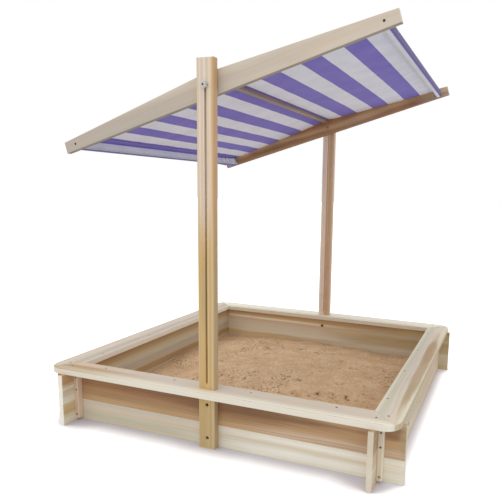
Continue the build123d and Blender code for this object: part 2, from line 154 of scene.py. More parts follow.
class Graph:
    """The node tree of one material or of the world, around a single shader."""

    def __init__(self, name: str, world: bool = False) -> None:
        """Make the material or the world that owns the tree, and keep its shader.

        Args:
            name: Name of the material or the world.
            world: Whether it is the world.
        """
        self.owner = (bpy.data.worlds if world else bpy.data.materials).new(name)
        self.owner.use_nodes = True
        self.tree = self.owner.node_tree
        self.shader = self.tree.nodes["Background" if world else "Principled BSDF"]

    def node(
        self,
        kind: str,
        settings: dict | None = None,
        links: dict | None = None,
        output: int | str = 0,
    ) -> Wire:
        """Add a node.

        Args:
            kind: Blender's name of the node's type.
            settings: Properties that are set first; "stops" are a ramp's (place, colour).
            links: Values or wires for its sockets, by name or number.
            output: The output socket that is wanted.

        Returns:
            The wire of that output.
        """
        made = self.tree.nodes.new(kind)
        for name, value in (settings or {}).items():
            if name == "stops":
                self._set_stops(made.color_ramp, value)
            else:
                setattr(made, name, value)
        for name, value in (links or {}).items():
            if isinstance(value, Wire):
                self.tree.links.new(value.socket, made.inputs[name])
            else:
                made.inputs[name].default_value = value
        return Wire(self, made.outputs[output])

    @staticmethod
    def _set_stops(ramp: bpy.types.ColorRamp, stops: list[tuple[float, Colour]]) -> None:
        """Give a ramp its stops.

        Args:
            ramp: The ramp, new and with two stops.
            stops: Place and colour of each stop, at least two of them.
        """
        ramp.interpolation = "EASE"
        while len(ramp.elements) < len(stops):
            ramp.elements.new(0.5)
        for element, (place, colour) in zip(ramp.elements, stops):
            element.position = place
            element.color = colour

    def spot(self) -> Wire:
        """The spot on the piece, in the piece's own coordinates."""
        return self.node("ShaderNodeTexCoord", output="Object")

    def attribute(self, name: str) -> Wire:
        """A number that the mesh holds for each of its points."""
        return self.node("ShaderNodeAttribute", {"attribute_name": name}, output="Fac")

    def place(self, centre: Vector, turn: Euler) -> Wire:
        """The spot on the piece, in a frame of its own with the given centre and turn."""
        links = {"Vector": self.spot(), "Location": centre, "Rotation": turn}
        return self.node("ShaderNodeMapping", {"vector_type": "TEXTURE"}, links)

    def split(self, vector: Wire) -> tuple[Wire, Wire, Wire]:
        """Split a vector.

        Args:
            vector: The vector.

        Returns:
            Its three parts.
        """
        first = self.node("ShaderNodeSeparateXYZ", links={"Vector": vector})
        outputs = first.socket.node.outputs
        return first, Wire(self, outputs[1]), Wire(self, outputs[2])

    def noise(
        self,
        vector: Wire,
        waves: Triple,
        detail: float = 2.0,
        roughness: float = 0.5,
        shift: Triple = (0.0, 0.0, 0.0),
    ) -> Wire:
        """Add noise from 0 to 1.

        Args:
            vector: Where on the piece it is.
            waves: How many waves it has to a metre, along each axis.
            detail: How many sets of finer waves lie on them.
            roughness: How strong each finer set is, against the one before.
            shift: Way to another part of the noise, in waves.

        Returns:
            The noise.
        """
        links = {"Vector": vector, "Scale": waves, "Location": shift}
        scaled = self.node("ShaderNodeMapping", {"vector_type": "POINT"}, links)
        links = {"Vector": scaled, "Scale": 1.0, "Detail": detail, "Roughness": roughness}
        return self.node("ShaderNodeTexNoise", links=links)

    def ramp(self, factor: Wire, stops: list[tuple[float, Colour]]) -> Wire:
        """A colour ramp."""
        return self.node("ShaderNodeValToRGB", {"stops": stops}, {"Fac": factor})

    def mix(
        self,
        factor: Wire | float,
        under: Wire | Colour,
        over: Wire | Colour,
        blend: str = "MIX",
    ) -> Wire:
        """Lay a colour over another one, as far as the factor says."""
        settings = {"data_type": "RGBA", "blend_type": blend}
        return self.node("ShaderNodeMix", settings, {0: factor, 6: under, 7: over}, 2)

    def bump(self, height: Wire, depth_mm: float, strength: float) -> None:
        """Raise the surface by a height from 0 to 1, the depth at 1."""
        links = {"Height": height, "Distance": depth_mm * MM, "Strength": strength}
        self.feed("Normal", self.node("ShaderNodeBump", links=links))

    def feed(self, socket: str, value: Wire | float | Colour) -> None:
        """Feed or set a socket of the shader.

        Args:
            socket: Name of the socket.
            value: A wire to link to it, or what it is set to.
        """
        if isinstance(value, Wire):
            self.tree.links.new(value.socket, self.shader.inputs[socket])
        else:
            self.shader.inputs[socket].default_value = value


# ---- finishes -------------------------------------------------------------------
class Tint(Enum):
    """Tones of the untreated fir, as they look in plain light."""

    BRIGHT = (247, 242, 226)
    IVORY = (233, 226, 206)
    CREAM = (224, 212, 190)
    ASH = (220, 209, 194)
    STRAW = (222, 197, 150)
    PINKISH = (221, 196, 171)
    GREY_GREEN = (210, 206, 184)
    OLIVE = (186, 168, 128)
    TAN = (206, 170, 130)
    BROWN = (172, 130, 94)
    RED_BROWN = (160, 106, 76)
    LILAC = (206, 186, 178)
    UMBER = (128, 98, 66)
    WALNUT = (140, 104, 74)
    SMOKE = (152, 134, 130)
    SILVER = (196, 186, 174)
    BISCUIT = (206, 190, 162)
    CARAMEL = (188, 148, 110)
    FAWN = (184, 154, 114)
    MILK = (255, 252, 243)
    GOLD = (214, 182, 122)
    MOSS = (124, 119, 104)
    SHELL = (244, 222, 204)

    @property
    def colour(self) -> Colour:
        """The tone as a shader takes it."""
        return linear(*self.value)


class Lay(Enum):
    """How a board lies: the turn that takes X along its grain and Y across its face."""

    FLAT_X = (0.0, 0.0, 0.0)
    FLAT_Y = (0.0, 0.0, 90.0)
    ON_EDGE_X = (90.0, 0.0, 0.0)
    ON_EDGE_Y = (90.0, 0.0, 90.0)
    UPRIGHT = (-90.0, -90.0, 0.0)
    BEAM = (90.0, -CANOPY_TILT_DEG, 0.0)
    BAR = (-CANOPY_TILT_DEG, 0.0, 90.0)

    def turn(self) -> Euler:
        """The turn as Euler angles."""
        return Euler([math.radians(angle) for angle in self.value])


@dataclass(frozen=True)
class Knot:
    """A knot on a board's face, measured from the middle of the board."""

    along_mm: float
    across_mm: float
    radius_mm: float
    dark: float = 0.8


@dataclass(frozen=True)
class Blotch:
    """A long stain on a board's face, measured from the middle of the board. Most are heartwood; some
    paint the shade that the rim casts.
    """

    along_mm: float
    across_mm: float
    half_length_mm: float
    half_width_mm: float
    tint: Tint
    share: float


Bands = tuple[tuple[float, Tint], ...]


@dataclass(frozen=True)
class WoodFinish:
    """Planed fir. Its rings are shells round the pith, cut by the faces of the board.

    The bands are tones across the face, by their distance from its middle. They change
    to the far bands along the grain, where a board has both.
    """

    lay: Lay
    bands: Bands
    far_bands: Bands = ()
    turn_mm: tuple[float, float] = (-250.0, 250.0)  # where the bands change along the grain
    seed: float = 0.0
    pith_mm: tuple[float, float] = (-30.0, 55.0)  # place of the pith, across the face and deep
    ring_mm: float = 3.4  # from one ring to the next
    ring_depth: float = 0.42  # how dark the late wood is
    wander_mm: float = 16.0  # how far the grain wanders across the face
    patch: Tint = Tint.PINKISH
    patch_share: float = 0.35
    blotches: tuple[Blotch, ...] = ()
    knots: tuple[Knot, ...] = ()
    edge: Tint | None = None  # tone of the long edge on the side where the bands start, lighter or darker than the board: painted light and shade of that face
    end: Tint = Tint.IVORY  # tone of the end grain
    end_share: float = 0.7  # how far the end grain hides the bands

    BAND_HALF_MM = 60.0  # as far as a ramp of bands reaches on both sides of the middle
    SEED_SHIFT = (3.1, 1.7, 5.3)  # way through the noise from one seed to the next
    KNOT_TINT = Tint.UMBER
    KNOT_LENGTH = 0.35  # makes knots longer along the grain, as the square of the ratio
    KNOT_RINGS = 900.0  # to a metre
    LATE_WOOD = (0.74, 0.6, 0.43, 1.0)
    FIBRE_DARK = (0.86, 0.83, 0.78, 1.0)
    STREAK_WARM = (1.0, 0.93, 0.86, 1.0)
    STREAK_COOL = (0.92, 0.94, 0.9, 1.0)

    def tones(self, graph: Graph, drift: Wire, bands: Bands) -> Wire:
        """Lay bands of colour across the face.

        Args:
            graph: The board's material.
            drift: Place across the face, as the grain wanders.
            bands: The tones and how far from the middle they are.

        Returns:
            The colour.
        """
        reach = self.BAND_HALF_MM
        stops = [((mm + reach) / (2 * reach), tint.colour) for mm, tint in bands]
        return graph.ramp((drift + reach * MM) / (2 * reach * MM), stops)

    def facing(self, graph: Graph, axis: Triple) -> Wire:
        """Find how far the surface faces along an axis of the board.

        Args:
            graph: The board's material.
            axis: The axis, as the board lies when X is along its grain.

        Returns:
            From -1, straight against it, to 1.
        """
        normal = graph.node("ShaderNodeTexCoord", output="Normal")
        links = {0: normal, 1: self.lay.turn().to_matrix() @ Vector(axis)}
        return graph.node("ShaderNodeVectorMath", {"operation": "DOT_PRODUCT"}, links, "Value")

    def knot_masks(self, along: Wire, across: Wire) -> tuple[list[Wire], Wire]:
        """Place the knots and bend the grain round them.

        Args:
            along: Place along the grain.
            across: Place across the face.

        Returns:
            The mask of each knot, and the place across the face in the bent grain.
        """
        masks = []
        for knot in self.knots:
            reach = knot.radius_mm * MM
            off_along = along - knot.along_mm * MM
            off_across = across - knot.across_mm * MM
            far = (off_along * off_along * self.KNOT_LENGTH + off_across * off_across).root()
            across = across - off_across * far.fade(reach * 2.6) * 0.8
            rings = (far * self.KNOT_RINGS).fraction() * -0.3 + 1.0
            masks.append(far.step(reach * 1.15, reach * 0.5) * rings * knot.dark)
        return masks, across

    def stained(self, graph: Graph, colour: Wire, spot: tuple[Wire, Wire], cloud: Wire) -> Wire:
        """Lay the blotches and the patches over the bands.

        Args:
            graph: The board's material.
            colour: The colour of the bands.
            spot: Place along the grain and across the face.
            cloud: Noise that frays the stains.

        Returns:
            The colour.
        """
        for blotch in self.blotches:
            off_along = (spot[0] - blotch.along_mm * MM) / (blotch.half_length_mm * MM)
            off_across = (spot[1] - blotch.across_mm * MM) / (blotch.half_width_mm * MM)
            far = (off_along * off_along + off_across * off_across).root() + (cloud - 0.5) * 2.2
            colour = graph.mix(far.step(1.3, 0.5) * blotch.share, colour, blotch.tint.colour)
        return graph.mix(cloud.step(0.48, 0.66) * self.patch_share, colour, self.patch.colour)

    def material(self, name: str, centre: Vector) -> bpy.types.Material:
        """Make the finish of one board.

        Args:
            name: Name of the piece.
            centre: Middle of the board, where its bands and knots are measured from.

        Returns:
            The material.
        """
        graph = Graph(f"wood_{name}")
        place = graph.place(centre, self.lay.turn())
        along, across, deep = graph.split(place)
        shift = tuple(self.seed * way for way in self.SEED_SHIFT)
        masks, across = self.knot_masks(along, across)

        def grain(waves: Triple, detail: float = 2.0, roughness: float = 0.5) -> Wire:
            """Noise that runs along this board's grain."""
            return graph.noise(place, waves, detail, roughness, shift)

        wander = grain((1.6, 9.0, 9.0)) - 0.5
        ripple = grain((5.0, 30.0, 30.0)) - 0.5
        drift = across + (wander * 2.0 + ripple * 0.5) * (self.wander_mm * MM)

        pith_across, pith_deep = (value * MM for value in self.pith_mm)
        off_pith = drift - pith_across
        off_deep = deep + wander * (self.wander_mm * MM) - pith_deep
        radial = (off_pith * off_pith + off_deep * off_deep).root()
        uneven = grain((0.8, 60.0, 60.0), 1.0)
        late = (radial / (self.ring_mm * MM) + uneven * 1.6).fraction() ** 2.2

        colour = self.tones(graph, drift, self.bands)
        if self.far_bands:
            start, stop = (value * MM for value in self.turn_mm)
            change = (along + wander * 0.3).step(start, stop)
            colour = graph.mix(change, colour, self.tones(graph, drift, self.far_bands))
        cloud = grain((2.3, 30.0, 30.0), 3.0, 0.55)
        colour = self.stained(graph, colour, (along, drift), cloud)

        strength = grain((0.7, 14.0, 14.0), 1.0) * (2 * self.ring_depth)
        colour = graph.mix(late * strength, colour, self.LATE_WOOD, "MULTIPLY")
        streak = grain((1.7, 130.0, 130.0), 3.0, 0.6)
        colour = graph.mix(streak.step(0.5, 0.68), colour, self.STREAK_WARM, "MULTIPLY")
        colour = graph.mix(streak.step(0.48, 0.3), colour, self.STREAK_COOL, "MULTIPLY")
        fibre = grain((9.0, 420.0, 420.0), 3.0, 0.6)
        colour = graph.mix(fibre.step(0.45, 0.75) * 0.55, colour, self.FIBRE_DARK, "MULTIPLY")
        for mask in masks:
            colour = graph.mix(mask, colour, self.KNOT_TINT.colour)

        # painted light and shade: the edge tone makes one long face lighter or darker than the rest of the
        # board
        if self.edge:
            edge = self.facing(graph, (0, 1, 0)).step(-0.5, -0.95) * 0.75
            colour = graph.mix(edge, colour, self.edge.colour)
        end = self.facing(graph, (1, 0, 0)).size().step(0.6, 0.9)
        colour = graph.mix(end * self.end_share, colour, self.end.colour)

        graph.feed("Base Color", colour)
        graph.feed("Roughness", fibre * 0.16 + 0.5 + end * 0.12)
        graph.feed("Specular IOR Level", 0.35)
        graph.bump(fibre * 0.5 + late * 0.5, 0.25, 0.5)
        return graph.owner


class Finish:
    """A finish that doesn't depend on the piece, so that several pieces can share it."""

    def paint(self, graph: Graph) -> None:
        """Paint a new material."""
        raise NotImplementedError

    def material(self, name: str) -> bpy.types.Material:
        """Make a material with the finish.

        Args:
            name: Name of the material.

        Returns:
            The material.
        """
        graph = Graph(name)
        self.paint(graph)
        return graph.owner


@dataclass(frozen=True)
class ClothFinish(Finish):
    """Yarn-dyed canvas, woven in plain weave, in purple and white stripes."""

    yarn_mm: float = 1.1
    purple: Colour = linear(110, 97, 192)
    purple_worn: Colour = linear(122, 109, 199)
    white: Colour = linear(230, 232, 246)
    white_grey: Colour = linear(216, 219, 233)
    shade_tint: Colour = (0.52, 0.5, 0.43, 1.0)  # painted shade: dims the cloth where wood lies behind it and keeps out the light through it, and in the creases of a fold
    edge: float = 0.012  # softness of a stripe's edge, in stripes

    def paint(self, graph: Graph) -> None:
        """Paint the cloth. The stripe attribute says which stripe a spot is in.

        Args:
            graph: The new material.
        """
        stripe = graph.attribute("stripe")
        # how much painted shade each spot of the cloth gets, 0 to 1
        painted_shade = graph.attribute("painted_shade")
        cloth = graph.node("ShaderNodeUVMap", {"uv_map": "cloth"})
        along, across, _ = graph.split(cloth)
        wave = (stripe * 0.5).fraction()
        purple = wave.step(0.0, self.edge) * wave.step(0.5 + self.edge / 2, 0.5 - self.edge / 2)
        slub = graph.noise(cloth, (60.0, 700.0, 1.0), 2.0)
        slub = slub * 0.5 + graph.noise(cloth, (700.0, 60.0, 1.0), 2.0) * 0.5
        soft = graph.noise(cloth, (9.0, 13.0, 1.0), 3.0)
        tone = (slub * 0.6 + soft * 0.4).step(0.38, 0.62)
        white = graph.mix(tone, self.white_grey, self.white)
        colour = graph.mix(purple, white, graph.mix(tone, self.purple, self.purple_worn))
        # painted shade: darker where wood behind the cloth keeps out the light through it, and in the
        # creases of the bunched sleeve
        colour = graph.mix(painted_shade, colour, self.shade_tint, "MULTIPLY")
        turns = 2 * math.pi / (2 * self.yarn_mm * MM)
        weave = (along * turns).sine() * (across * turns).sine()
        graph.feed("Base Color", colour)
        graph.feed("Roughness", slub * 0.1 + 0.78)
        graph.feed("Specular IOR Level", 0.25)
        graph.feed("Sheen Weight", 0.15)
        graph.bump(weave * 0.5 + slub, 0.12, 0.6)


@dataclass(frozen=True)
class ThreadFinish(Finish):
    """Twisted sewing thread."""

    colour: Colour = linear(224, 222, 226)
    shade: Colour = linear(186, 180, 200)

    def paint(self, graph: Graph) -> None:
        """Paint the thread.

        Args:
            graph: The new material.
        """
        spot = graph.spot()
        ply = graph.noise(spot, (900.0, 2600.0, 900.0), 2.0)
        graph.feed("Base Color", graph.mix(ply, self.colour, self.shade))
        graph.feed("Roughness", ply * 0.15 + 0.6)
        graph.bump(ply, 0.08, 0.5)


@dataclass(frozen=True)
class SandFinish(Finish):
    """Slightly damp play sand, with painted shade in its holes and in small dark specks."""

    dry: Colour = linear(229, 197, 157)
    damp: Colour = linear(208, 172, 133)
    # painted shade at the bottom of the holes and in the dark specks
    hole_shade: Colour = linear(110, 80, 54)
    grain_light: Colour = linear(234, 212, 184)

    def paint(self, graph: Graph) -> None:
        """Paint the sand, with painted shade in its holes. An attribute is 1 at the bottom of a hole.

        Args:
            graph: The new material.
        """
        spot = graph.spot()
        hole_shade = graph.attribute("hole_shade")
        patch = graph.noise(spot, (14.0, 14.0, 30.0), 4.0, 0.6)
        clump = graph.noise(spot, (110.0, 110.0, 110.0), 3.0, 0.6)
        grain = graph.noise(spot, (900.0, 900.0, 900.0), 2.0, 0.7)
        colour = graph.mix((patch * 0.5 + clump * 0.5).step(0.4, 0.62), self.damp, self.dry)
        colour = graph.mix(grain.step(0.58, 0.75) * 0.5, colour, self.grain_light)
        colour = graph.mix(grain.step(0.42, 0.28) * 0.45, colour, self.damp)
        # painted shade: small dark specks, as of tiny pits, in the dug patches
        dug = graph.noise(spot, (7.0, 7.0, 7.0), 2.0, shift=(3.0, 1.0, 0.0)).step(0.47, 0.6)
        speck_shade = graph.noise(spot, (95.0, 95.0, 95.0), 2.0, 0.65, shift=(7.0, 0.0, 2.0))
        colour = graph.mix(speck_shade.step(0.54, 0.68) * dug * 0.85, colour, self.hole_shade)
        # painted shade in the holes, darkest at their bottom
        colour = graph.mix(hole_shade.step(0.2, 0.8) * 0.9, colour, self.hole_shade)
        graph.feed("Base Color", colour)
        graph.feed("Roughness", grain * 0.1 + 0.88)
        graph.feed("Specular IOR Level", 0.2)
        graph.bump(grain * 0.6 + clump * 0.9, 1.5, 1.0)


@dataclass(frozen=True)
class MetalFinish(Finish):
    """Plated metal, brushed fine and spotted where the plating has dulled."""

    colour: Colour
    dull: Colour
    roughness: float

    def paint(self, graph: Graph) -> None:
        """Paint the metal.

        Args:
            graph: The new material.
        """
        spot = graph.spot()
        bloom = graph.noise(spot, (260.0, 260.0, 260.0), 4.0, 0.6)
        scratch = graph.noise(spot, (3200.0, 3200.0, 300.0), 2.0, 0.6)
        spots = bloom.step(0.45, 0.68)
        graph.feed("Base Color", graph.mix(spots, self.colour, self.dull))
        graph.feed("Metallic", 1.0 - spots * 0.25)
        graph.feed("Roughness", spots * 0.22 + scratch * 0.12 + self.roughness)
        graph.bump(scratch * 0.6 + bloom * 0.4, 0.05, 0.4)


@dataclass(frozen=True)
class PlasticFinish(Finish):
    """Moulded plastic with a fine spark-eroded texture."""

    colour: Colour
    scuffed: Colour
    roughness: float = 0.42

    def paint(self, graph: Graph) -> None:
        """Paint the plastic.

        Args:
            graph: The new material.
        """
        spot = graph.spot()
        grain = graph.noise(spot, (2400.0, 2400.0, 2400.0), 2.0)
        scuff = graph.noise(spot, (140.0, 140.0, 420.0), 4.0, 0.65).step(0.52, 0.72)
        graph.feed("Base Color", graph.mix(scuff, self.colour, self.scuffed))
        graph.feed("Roughness", grain * 0.08 + scuff * 0.18 + self.roughness)
        graph.bump(grain, 0.05, 0.45)


SCREW_STEEL = MetalFinish(linear(92, 90, 88), linear(50, 46, 42), 0.42)
BOLT_STEEL = MetalFinish(linear(186, 186, 184), linear(132, 128, 120), 0.3)
# dark, so that the bolt heads down in their counterbores read as shade: painted shade
DARK_BOLT_STEEL = MetalFinish(linear(112, 100, 82), linear(66, 54, 42), 0.38)
TARNISHED_STEEL = MetalFinish(linear(176, 158, 134), linear(142, 122, 98), 0.45)
INSERT_BRASS = MetalFinish(linear(196, 164, 96), linear(140, 112, 64), 0.32)
KNOB_PLASTIC = PlasticFinish(linear(206, 206, 204), linear(182, 181, 178))
SPACER_PLASTIC = PlasticFinish(linear(226, 226, 222), linear(204, 202, 196), 0.5)


# ---- modelling helpers ----------------------------------------------------------
def deselect_all() -> None:
    """Leave nothing selected, so that an operator acts on its own piece alone."""
    for piece in bpy.context.selected_objects:
        piece.select_set(False)


def make_active(piece: bpy.types.Object) -> None:
    """Select one piece alone and make it the active one.

    Args:
        piece: The piece.
    """
    deselect_all()
    piece.select_set(True)
    bpy.context.view_layer.objects.active = piece


def apply_modifiers(piece: bpy.types.Object) -> None:
    """Apply all modifiers of a piece, in order.

    Args:
        piece: The piece.
    """
    make_active(piece)
    for modifier in list(piece.modifiers):
        bpy.ops.object.modifier_apply(modifier=modifier.name)


def apply_place(piece: bpy.types.Object) -> None:
    """Put a piece's place, turn and size into its mesh."""
    make_active(piece)
    bpy.ops.object.transform_apply(location=True, rotation=True, scale=True)


def in_canopy(along: float, across: float, up: float) -> Vector:
    """Turn a place in the canopy's own plane into a place in the frame.

    Args:
        along: Along the slope from the pivot, towards the raised end.
        across: Along the pivot, to the back.
        up: Square to the slope, above the lower edge of the beams.

    Returns:
        The place in the frame.
    """
    turn = Matrix.Rotation(-math.radians(CANOPY_TILT_DEG), 3, "Y")
    return CANOPY_PIVOT + turn @ Vector((along, across, up - PIVOT_UP_MM * MM))


class Joinery:
    """A sub-assembly that keeps its shapes from the frame and is only dressed here."""

    FITTINGS: dict[str, tuple[Finish, tuple[str, ...]]] = {}  # by the name of the material

    def woods(self) -> dict[str, WoodFinish]:
        """Choose the look of each wooden node."""
        return {}

    @staticmethod
    def dress(node: str, material: bpy.types.Material) -> None:
        """Give a node its material.

        Args:
            node: Name of the node.
            material: The material.
        """
        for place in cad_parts[node].material_slots:
            place.material = material
        LOG.info("%s wears %s", node, material.name)

    def build(self) -> None:
        """Dress each wooden node by itself, centred on it, and then the fittings, set by set."""
        for node, finish in self.woods().items():
            low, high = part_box(node)
            self.dress(node, finish.material(node, (low + high) / 2))
        for name, (finish, nodes) in self.FITTINGS.items():
            material = finish.material(name)
            for node in nodes:
                self.dress(node, material)


# ---- the box --------------------------------------------------------------------
class BoxWalls(Joinery):
    """The notched wall boards, the outer side boards, the corner battens and the spacers."""

    FITTINGS = {
        "screw_steel_battens": (TARNISHED_STEEL, ("corner_batten_screws",)),
        "screw_steel_skins": (SCREW_STEEL, ("side_skin_screws",)),
    }

    def woods(self) -> dict[str, WoodFinish]:
        """Choose the look of each board, batten and set of spacers.

        Returns:
            The finish of each wooden node.
        """
        t = Tint
        finishes = {
            # painted shadow of the rim: the brown upper bands and the walnut blotches at across 16 and 28
            # darken the top of this tan board
            "wall_front_upper": WoodFinish(
                Lay.ON_EDGE_X,
                ((-50, t.TAN), (-38, t.TAN), (-24, t.FAWN), (-8, t.CARAMEL), (10, t.BROWN), (50, t.BROWN)),
                far_bands=((-50, t.PINKISH), (-32, t.PINKISH), (-20, t.TAN), (-4, t.TAN), (8, t.CARAMEL),
                           (16, t.TAN), (24, t.PINKISH), (50, t.PINKISH)),
                turn_mm=(100, 260), seed=1.0, pith_mm=(-70, 30), wander_mm=7, ring_mm=5.5, ring_depth=0.6,
                patch=t.BROWN, patch_share=0.25,
                blotches=(Blotch(50, 16, 330, 30, t.WALNUT, 0.8), Blotch(120, -12, 150, 10, t.BROWN, 0.6),
                          Blotch(560, 28, 44, 22, t.WALNUT, 0.8), Blotch(596, 7, 14, 60, t.OLIVE, 0.6)),
                knots=(Knot(-470, 11, 2.5, 0.5),),
            ),
            "wall_front_lower": WoodFinish(
                Lay.ON_EDGE_X,
                ((-36, t.CREAM), (-13, t.GREY_GREEN), (12, t.CREAM), (30, t.ASH), (36, t.CREAM)),
                far_bands=((-36, t.BRIGHT), (-12, t.MILK), (6, t.IVORY), (20, t.MILK), (36, t.BRIGHT)),
                turn_mm=(-150, 250), seed=2.0, pith_mm=(60, 46), wander_mm=8, ring_depth=0.18, patch=t.ASH,
                blotches=(Blotch(560, 0, 50, 60, t.BRIGHT, 0.8),),
            ),
            # darker towards the top: painted shadow of the rim's lip on the inside of the wall
            "wall_back_upper": WoodFinish(
                Lay.ON_EDGE_X,
                ((-50, t.IVORY), (-11, t.CREAM), (11, t.PINKISH), (20, t.BRIGHT), (26, t.STRAW),
                 (34, t.TAN), (50, t.FAWN)),
                far_bands=((-50, t.BISCUIT), (-13, t.OLIVE), (7, t.BISCUIT), (22, t.OLIVE), (32, t.FAWN),
                           (50, t.BROWN)),
                turn_mm=(-50, 350), seed=3.0, pith_mm=(-50, 40), wander_mm=6, patch=t.STRAW,
            ),
            "wall_back_lower": WoodFinish(
                Lay.ON_EDGE_X,
                ((-36, t.IVORY), (-3, t.CREAM), (27, t.STRAW), (36, t.IVORY)),
                far_bands=((-36, t.STRAW), (-3, t.GREY_GREEN), (27, t.CREAM), (36, t.GREY_GREEN)),
                seed=4.0, pith_mm=(40, 60), patch=t.STRAW, wander_mm=8,
            ),
            # tan, olive and brown towards the top: painted shadow of the rim, on the stub and inside
            "wall_left_upper": WoodFinish(
                Lay.ON_EDGE_Y,
                ((-50, t.BRIGHT), (-30, t.BRIGHT), (-18, t.IVORY), (-8, t.CREAM), (3, t.BRIGHT),
                 (9, t.CREAM), (14, t.STRAW), (20, t.TAN), (50, t.TAN)),
                far_bands=((-50, t.FAWN), (-38, t.BISCUIT), (-26, t.SILVER), (2, t.GREY_GREEN),
                           (16, t.BISCUIT), (25, t.OLIVE), (50, t.BROWN)),
                turn_mm=(-500, -420), seed=5.0, pith_mm=(-20, 46), patch=t.TAN, patch_share=0.1,
                wander_mm=5, end=t.MILK, end_share=0.85,
            ),
            "wall_left_lower": WoodFinish(
                Lay.ON_EDGE_Y,
                ((-36, t.BRIGHT), (-16, t.BRIGHT), (-7, t.IVORY), (2, t.STRAW), (24, t.STRAW),
                 (36, t.CREAM)),
                far_bands=((-36, t.STRAW), (-3, t.CREAM), (27, t.FAWN), (36, t.FAWN)),
                turn_mm=(-500, -420), seed=6.0, pith_mm=(20, 46), patch=t.STRAW, patch_share=0.1,
                wander_mm=5, end=t.MILK, end_share=0.85,
            ),
            # olive and fawn above the lower part: painted shadow of the rim on the front stub
            "wall_right_upper": WoodFinish(
                Lay.ON_EDGE_Y,
                ((-50, t.PINKISH), (-28, t.PINKISH), (-20, t.OLIVE), (12, t.FAWN), (50, t.FAWN)),
                far_bands=((-50, t.PINKISH), (-3, t.ASH), (21, t.CREAM), (50, t.CREAM)),
                turn_mm=(-520, -480), seed=7.0, pith_mm=(-34, 60), patch=t.ASH,
            ),
            "wall_right_lower": WoodFinish(
                Lay.ON_EDGE_Y,
                ((-36, t.PINKISH), (-5, t.CREAM), (23, t.IVORY), (36, t.ASH)),
                seed=8.0, pith_mm=(34, 60), patch=t.STRAW,
            ),
            "side_skin_right_upper": WoodFinish(
                Lay.ON_EDGE_Y,
                ((-43, t.GREY_GREEN), (-10, t.CREAM), (15, t.ASH), (43, t.PINKISH)),
                far_bands=((-43, t.PINKISH), (-10, t.TAN), (15, t.CREAM), (43, t.PINKISH)),
                seed=9.0, pith_mm=(-60, 40), patch=t.TAN, wander_mm=20,
            ),
            "side_skin_right_lower": WoodFinish(
                Lay.ON_EDGE_Y,
                ((-43, t.CREAM), (0, t.IVORY), (43, t.GREY_GREEN)),
                far_bands=((-43, t.PINKISH), (-10, t.CREAM), (43, t.PINKISH)),
                seed=10.0, pith_mm=(55, 40), knots=(Knot(-250, 20, 7),),
            ),
            "side_skin_left_upper": WoodFinish(
                Lay.ON_EDGE_Y,
                ((-43, t.TAN), (-12, t.CREAM), (14, t.PINKISH), (43, t.TAN)),
                seed=11.0, pith_mm=(-60, 40), knots=(Knot(140, -6, 8),),
            ),
            "side_skin_left_lower": WoodFinish(
                Lay.ON_EDGE_Y,
                ((-43, t.CREAM), (0, t.GREY_GREEN), (43, t.CREAM)),
                far_bands=((-43, t.PINKISH), (-10, t.CREAM), (20, t.STRAW), (43, t.CREAM)),
                seed=12.0, pith_mm=(55, 40),
            ),
        }
        corners = [f"{end}_{side}" for end in ("front", "back") for side in ("left", "right")]
        for count, corner in enumerate(corners):
            bands = ((-12, t.SHELL), (0, t.IVORY), (12, t.BRIGHT))
            if corner == "front_left":
                bands = ((-12, t.SHELL), (0, t.PINKISH), (12, t.SHELL))
            finishes[f"corner_batten_{corner}"] = WoodFinish(
                Lay.UPRIGHT, bands, seed=20.0 + count, pith_mm=(-25, 30), wander_mm=4, ring_mm=2.6,
                patch_share=0.2,
            )
        for count, side in enumerate(("left", "right")):
            finishes[f"side_spacers_{side}"] = WoodFinish(
                Lay.UPRIGHT, ((-15, t.CREAM), (15, t.PINKISH)), seed=30.0 + count, wander_mm=6,
            )
        return finishes


class SeatRim(Joinery):
    """The mitred seat rim and its screws."""

    FITTINGS = {"screw_steel_rim": (SCREW_STEEL, ("rim_screws",))}

    def woods(self) -> dict[str, WoodFinish]:
        """Choose the look of each rail.

        Returns:
            The finish of each wooden node.
        """
        t = Tint
        return {
            "rim_front": WoodFinish(
                Lay.FLAT_X,
                ((-43, t.FAWN), (-38, t.BISCUIT), (-25, t.BISCUIT), (0, t.FAWN), (18, t.PINKISH),
                 (43, t.BISCUIT)),
                far_bands=((-43, t.ASH), (-37, t.BRIGHT), (-27, t.IVORY), (-6, t.ASH), (24, t.ASH),
                           (43, t.CREAM)),
                turn_mm=(-520, -120), seed=41.0, pith_mm=(-30, -60), wander_mm=4, ring_depth=0.3,
                # the bright edge is painted light on the front edge face
                patch_share=0.2, edge=t.BRIGHT,
            ),
            "rim_back": WoodFinish(
                Lay.FLAT_X, ((-43, t.IVORY), (-36, t.IVORY), (0, t.BRIGHT), (43, t.BRIGHT)),
                seed=42.0, pith_mm=(20, -60), wander_mm=4, ring_depth=0.2, patch=t.GREY_GREEN,
                patch_share=0.2, edge=t.CREAM,
            ),
            "rim_left": WoodFinish(
                Lay.FLAT_Y, ((-43, t.ASH), (-20, t.SILVER), (10, t.ASH), (43, t.ASH)),
                seed=43.0, pith_mm=(10, -60), wander_mm=5, ring_depth=0.34, patch=t.BISCUIT,
                patch_share=0.3, edge=t.BRIGHT,
            ),
            "rim_right": WoodFinish(
                Lay.FLAT_Y,
                ((-43, t.IVORY), (-20, t.CREAM), (6, t.ASH), (24, t.GREY_GREEN), (43, t.IVORY)),
                seed=44.0, pith_mm=(-14, -60), wander_mm=5, ring_depth=0.3,
                # the olive edge is painted shade on the outer right face
                patch=t.IVORY, patch_share=0.15, edge=t.OLIVE,
                blotches=(Blotch(-60, -22, 390, 19, t.FAWN, 0.75), Blotch(140, -22, 170, 18, t.FAWN, 0.75),
                          Blotch(-330, -26, 90, 10, t.OLIVE, 0.6)),
            ),
        }


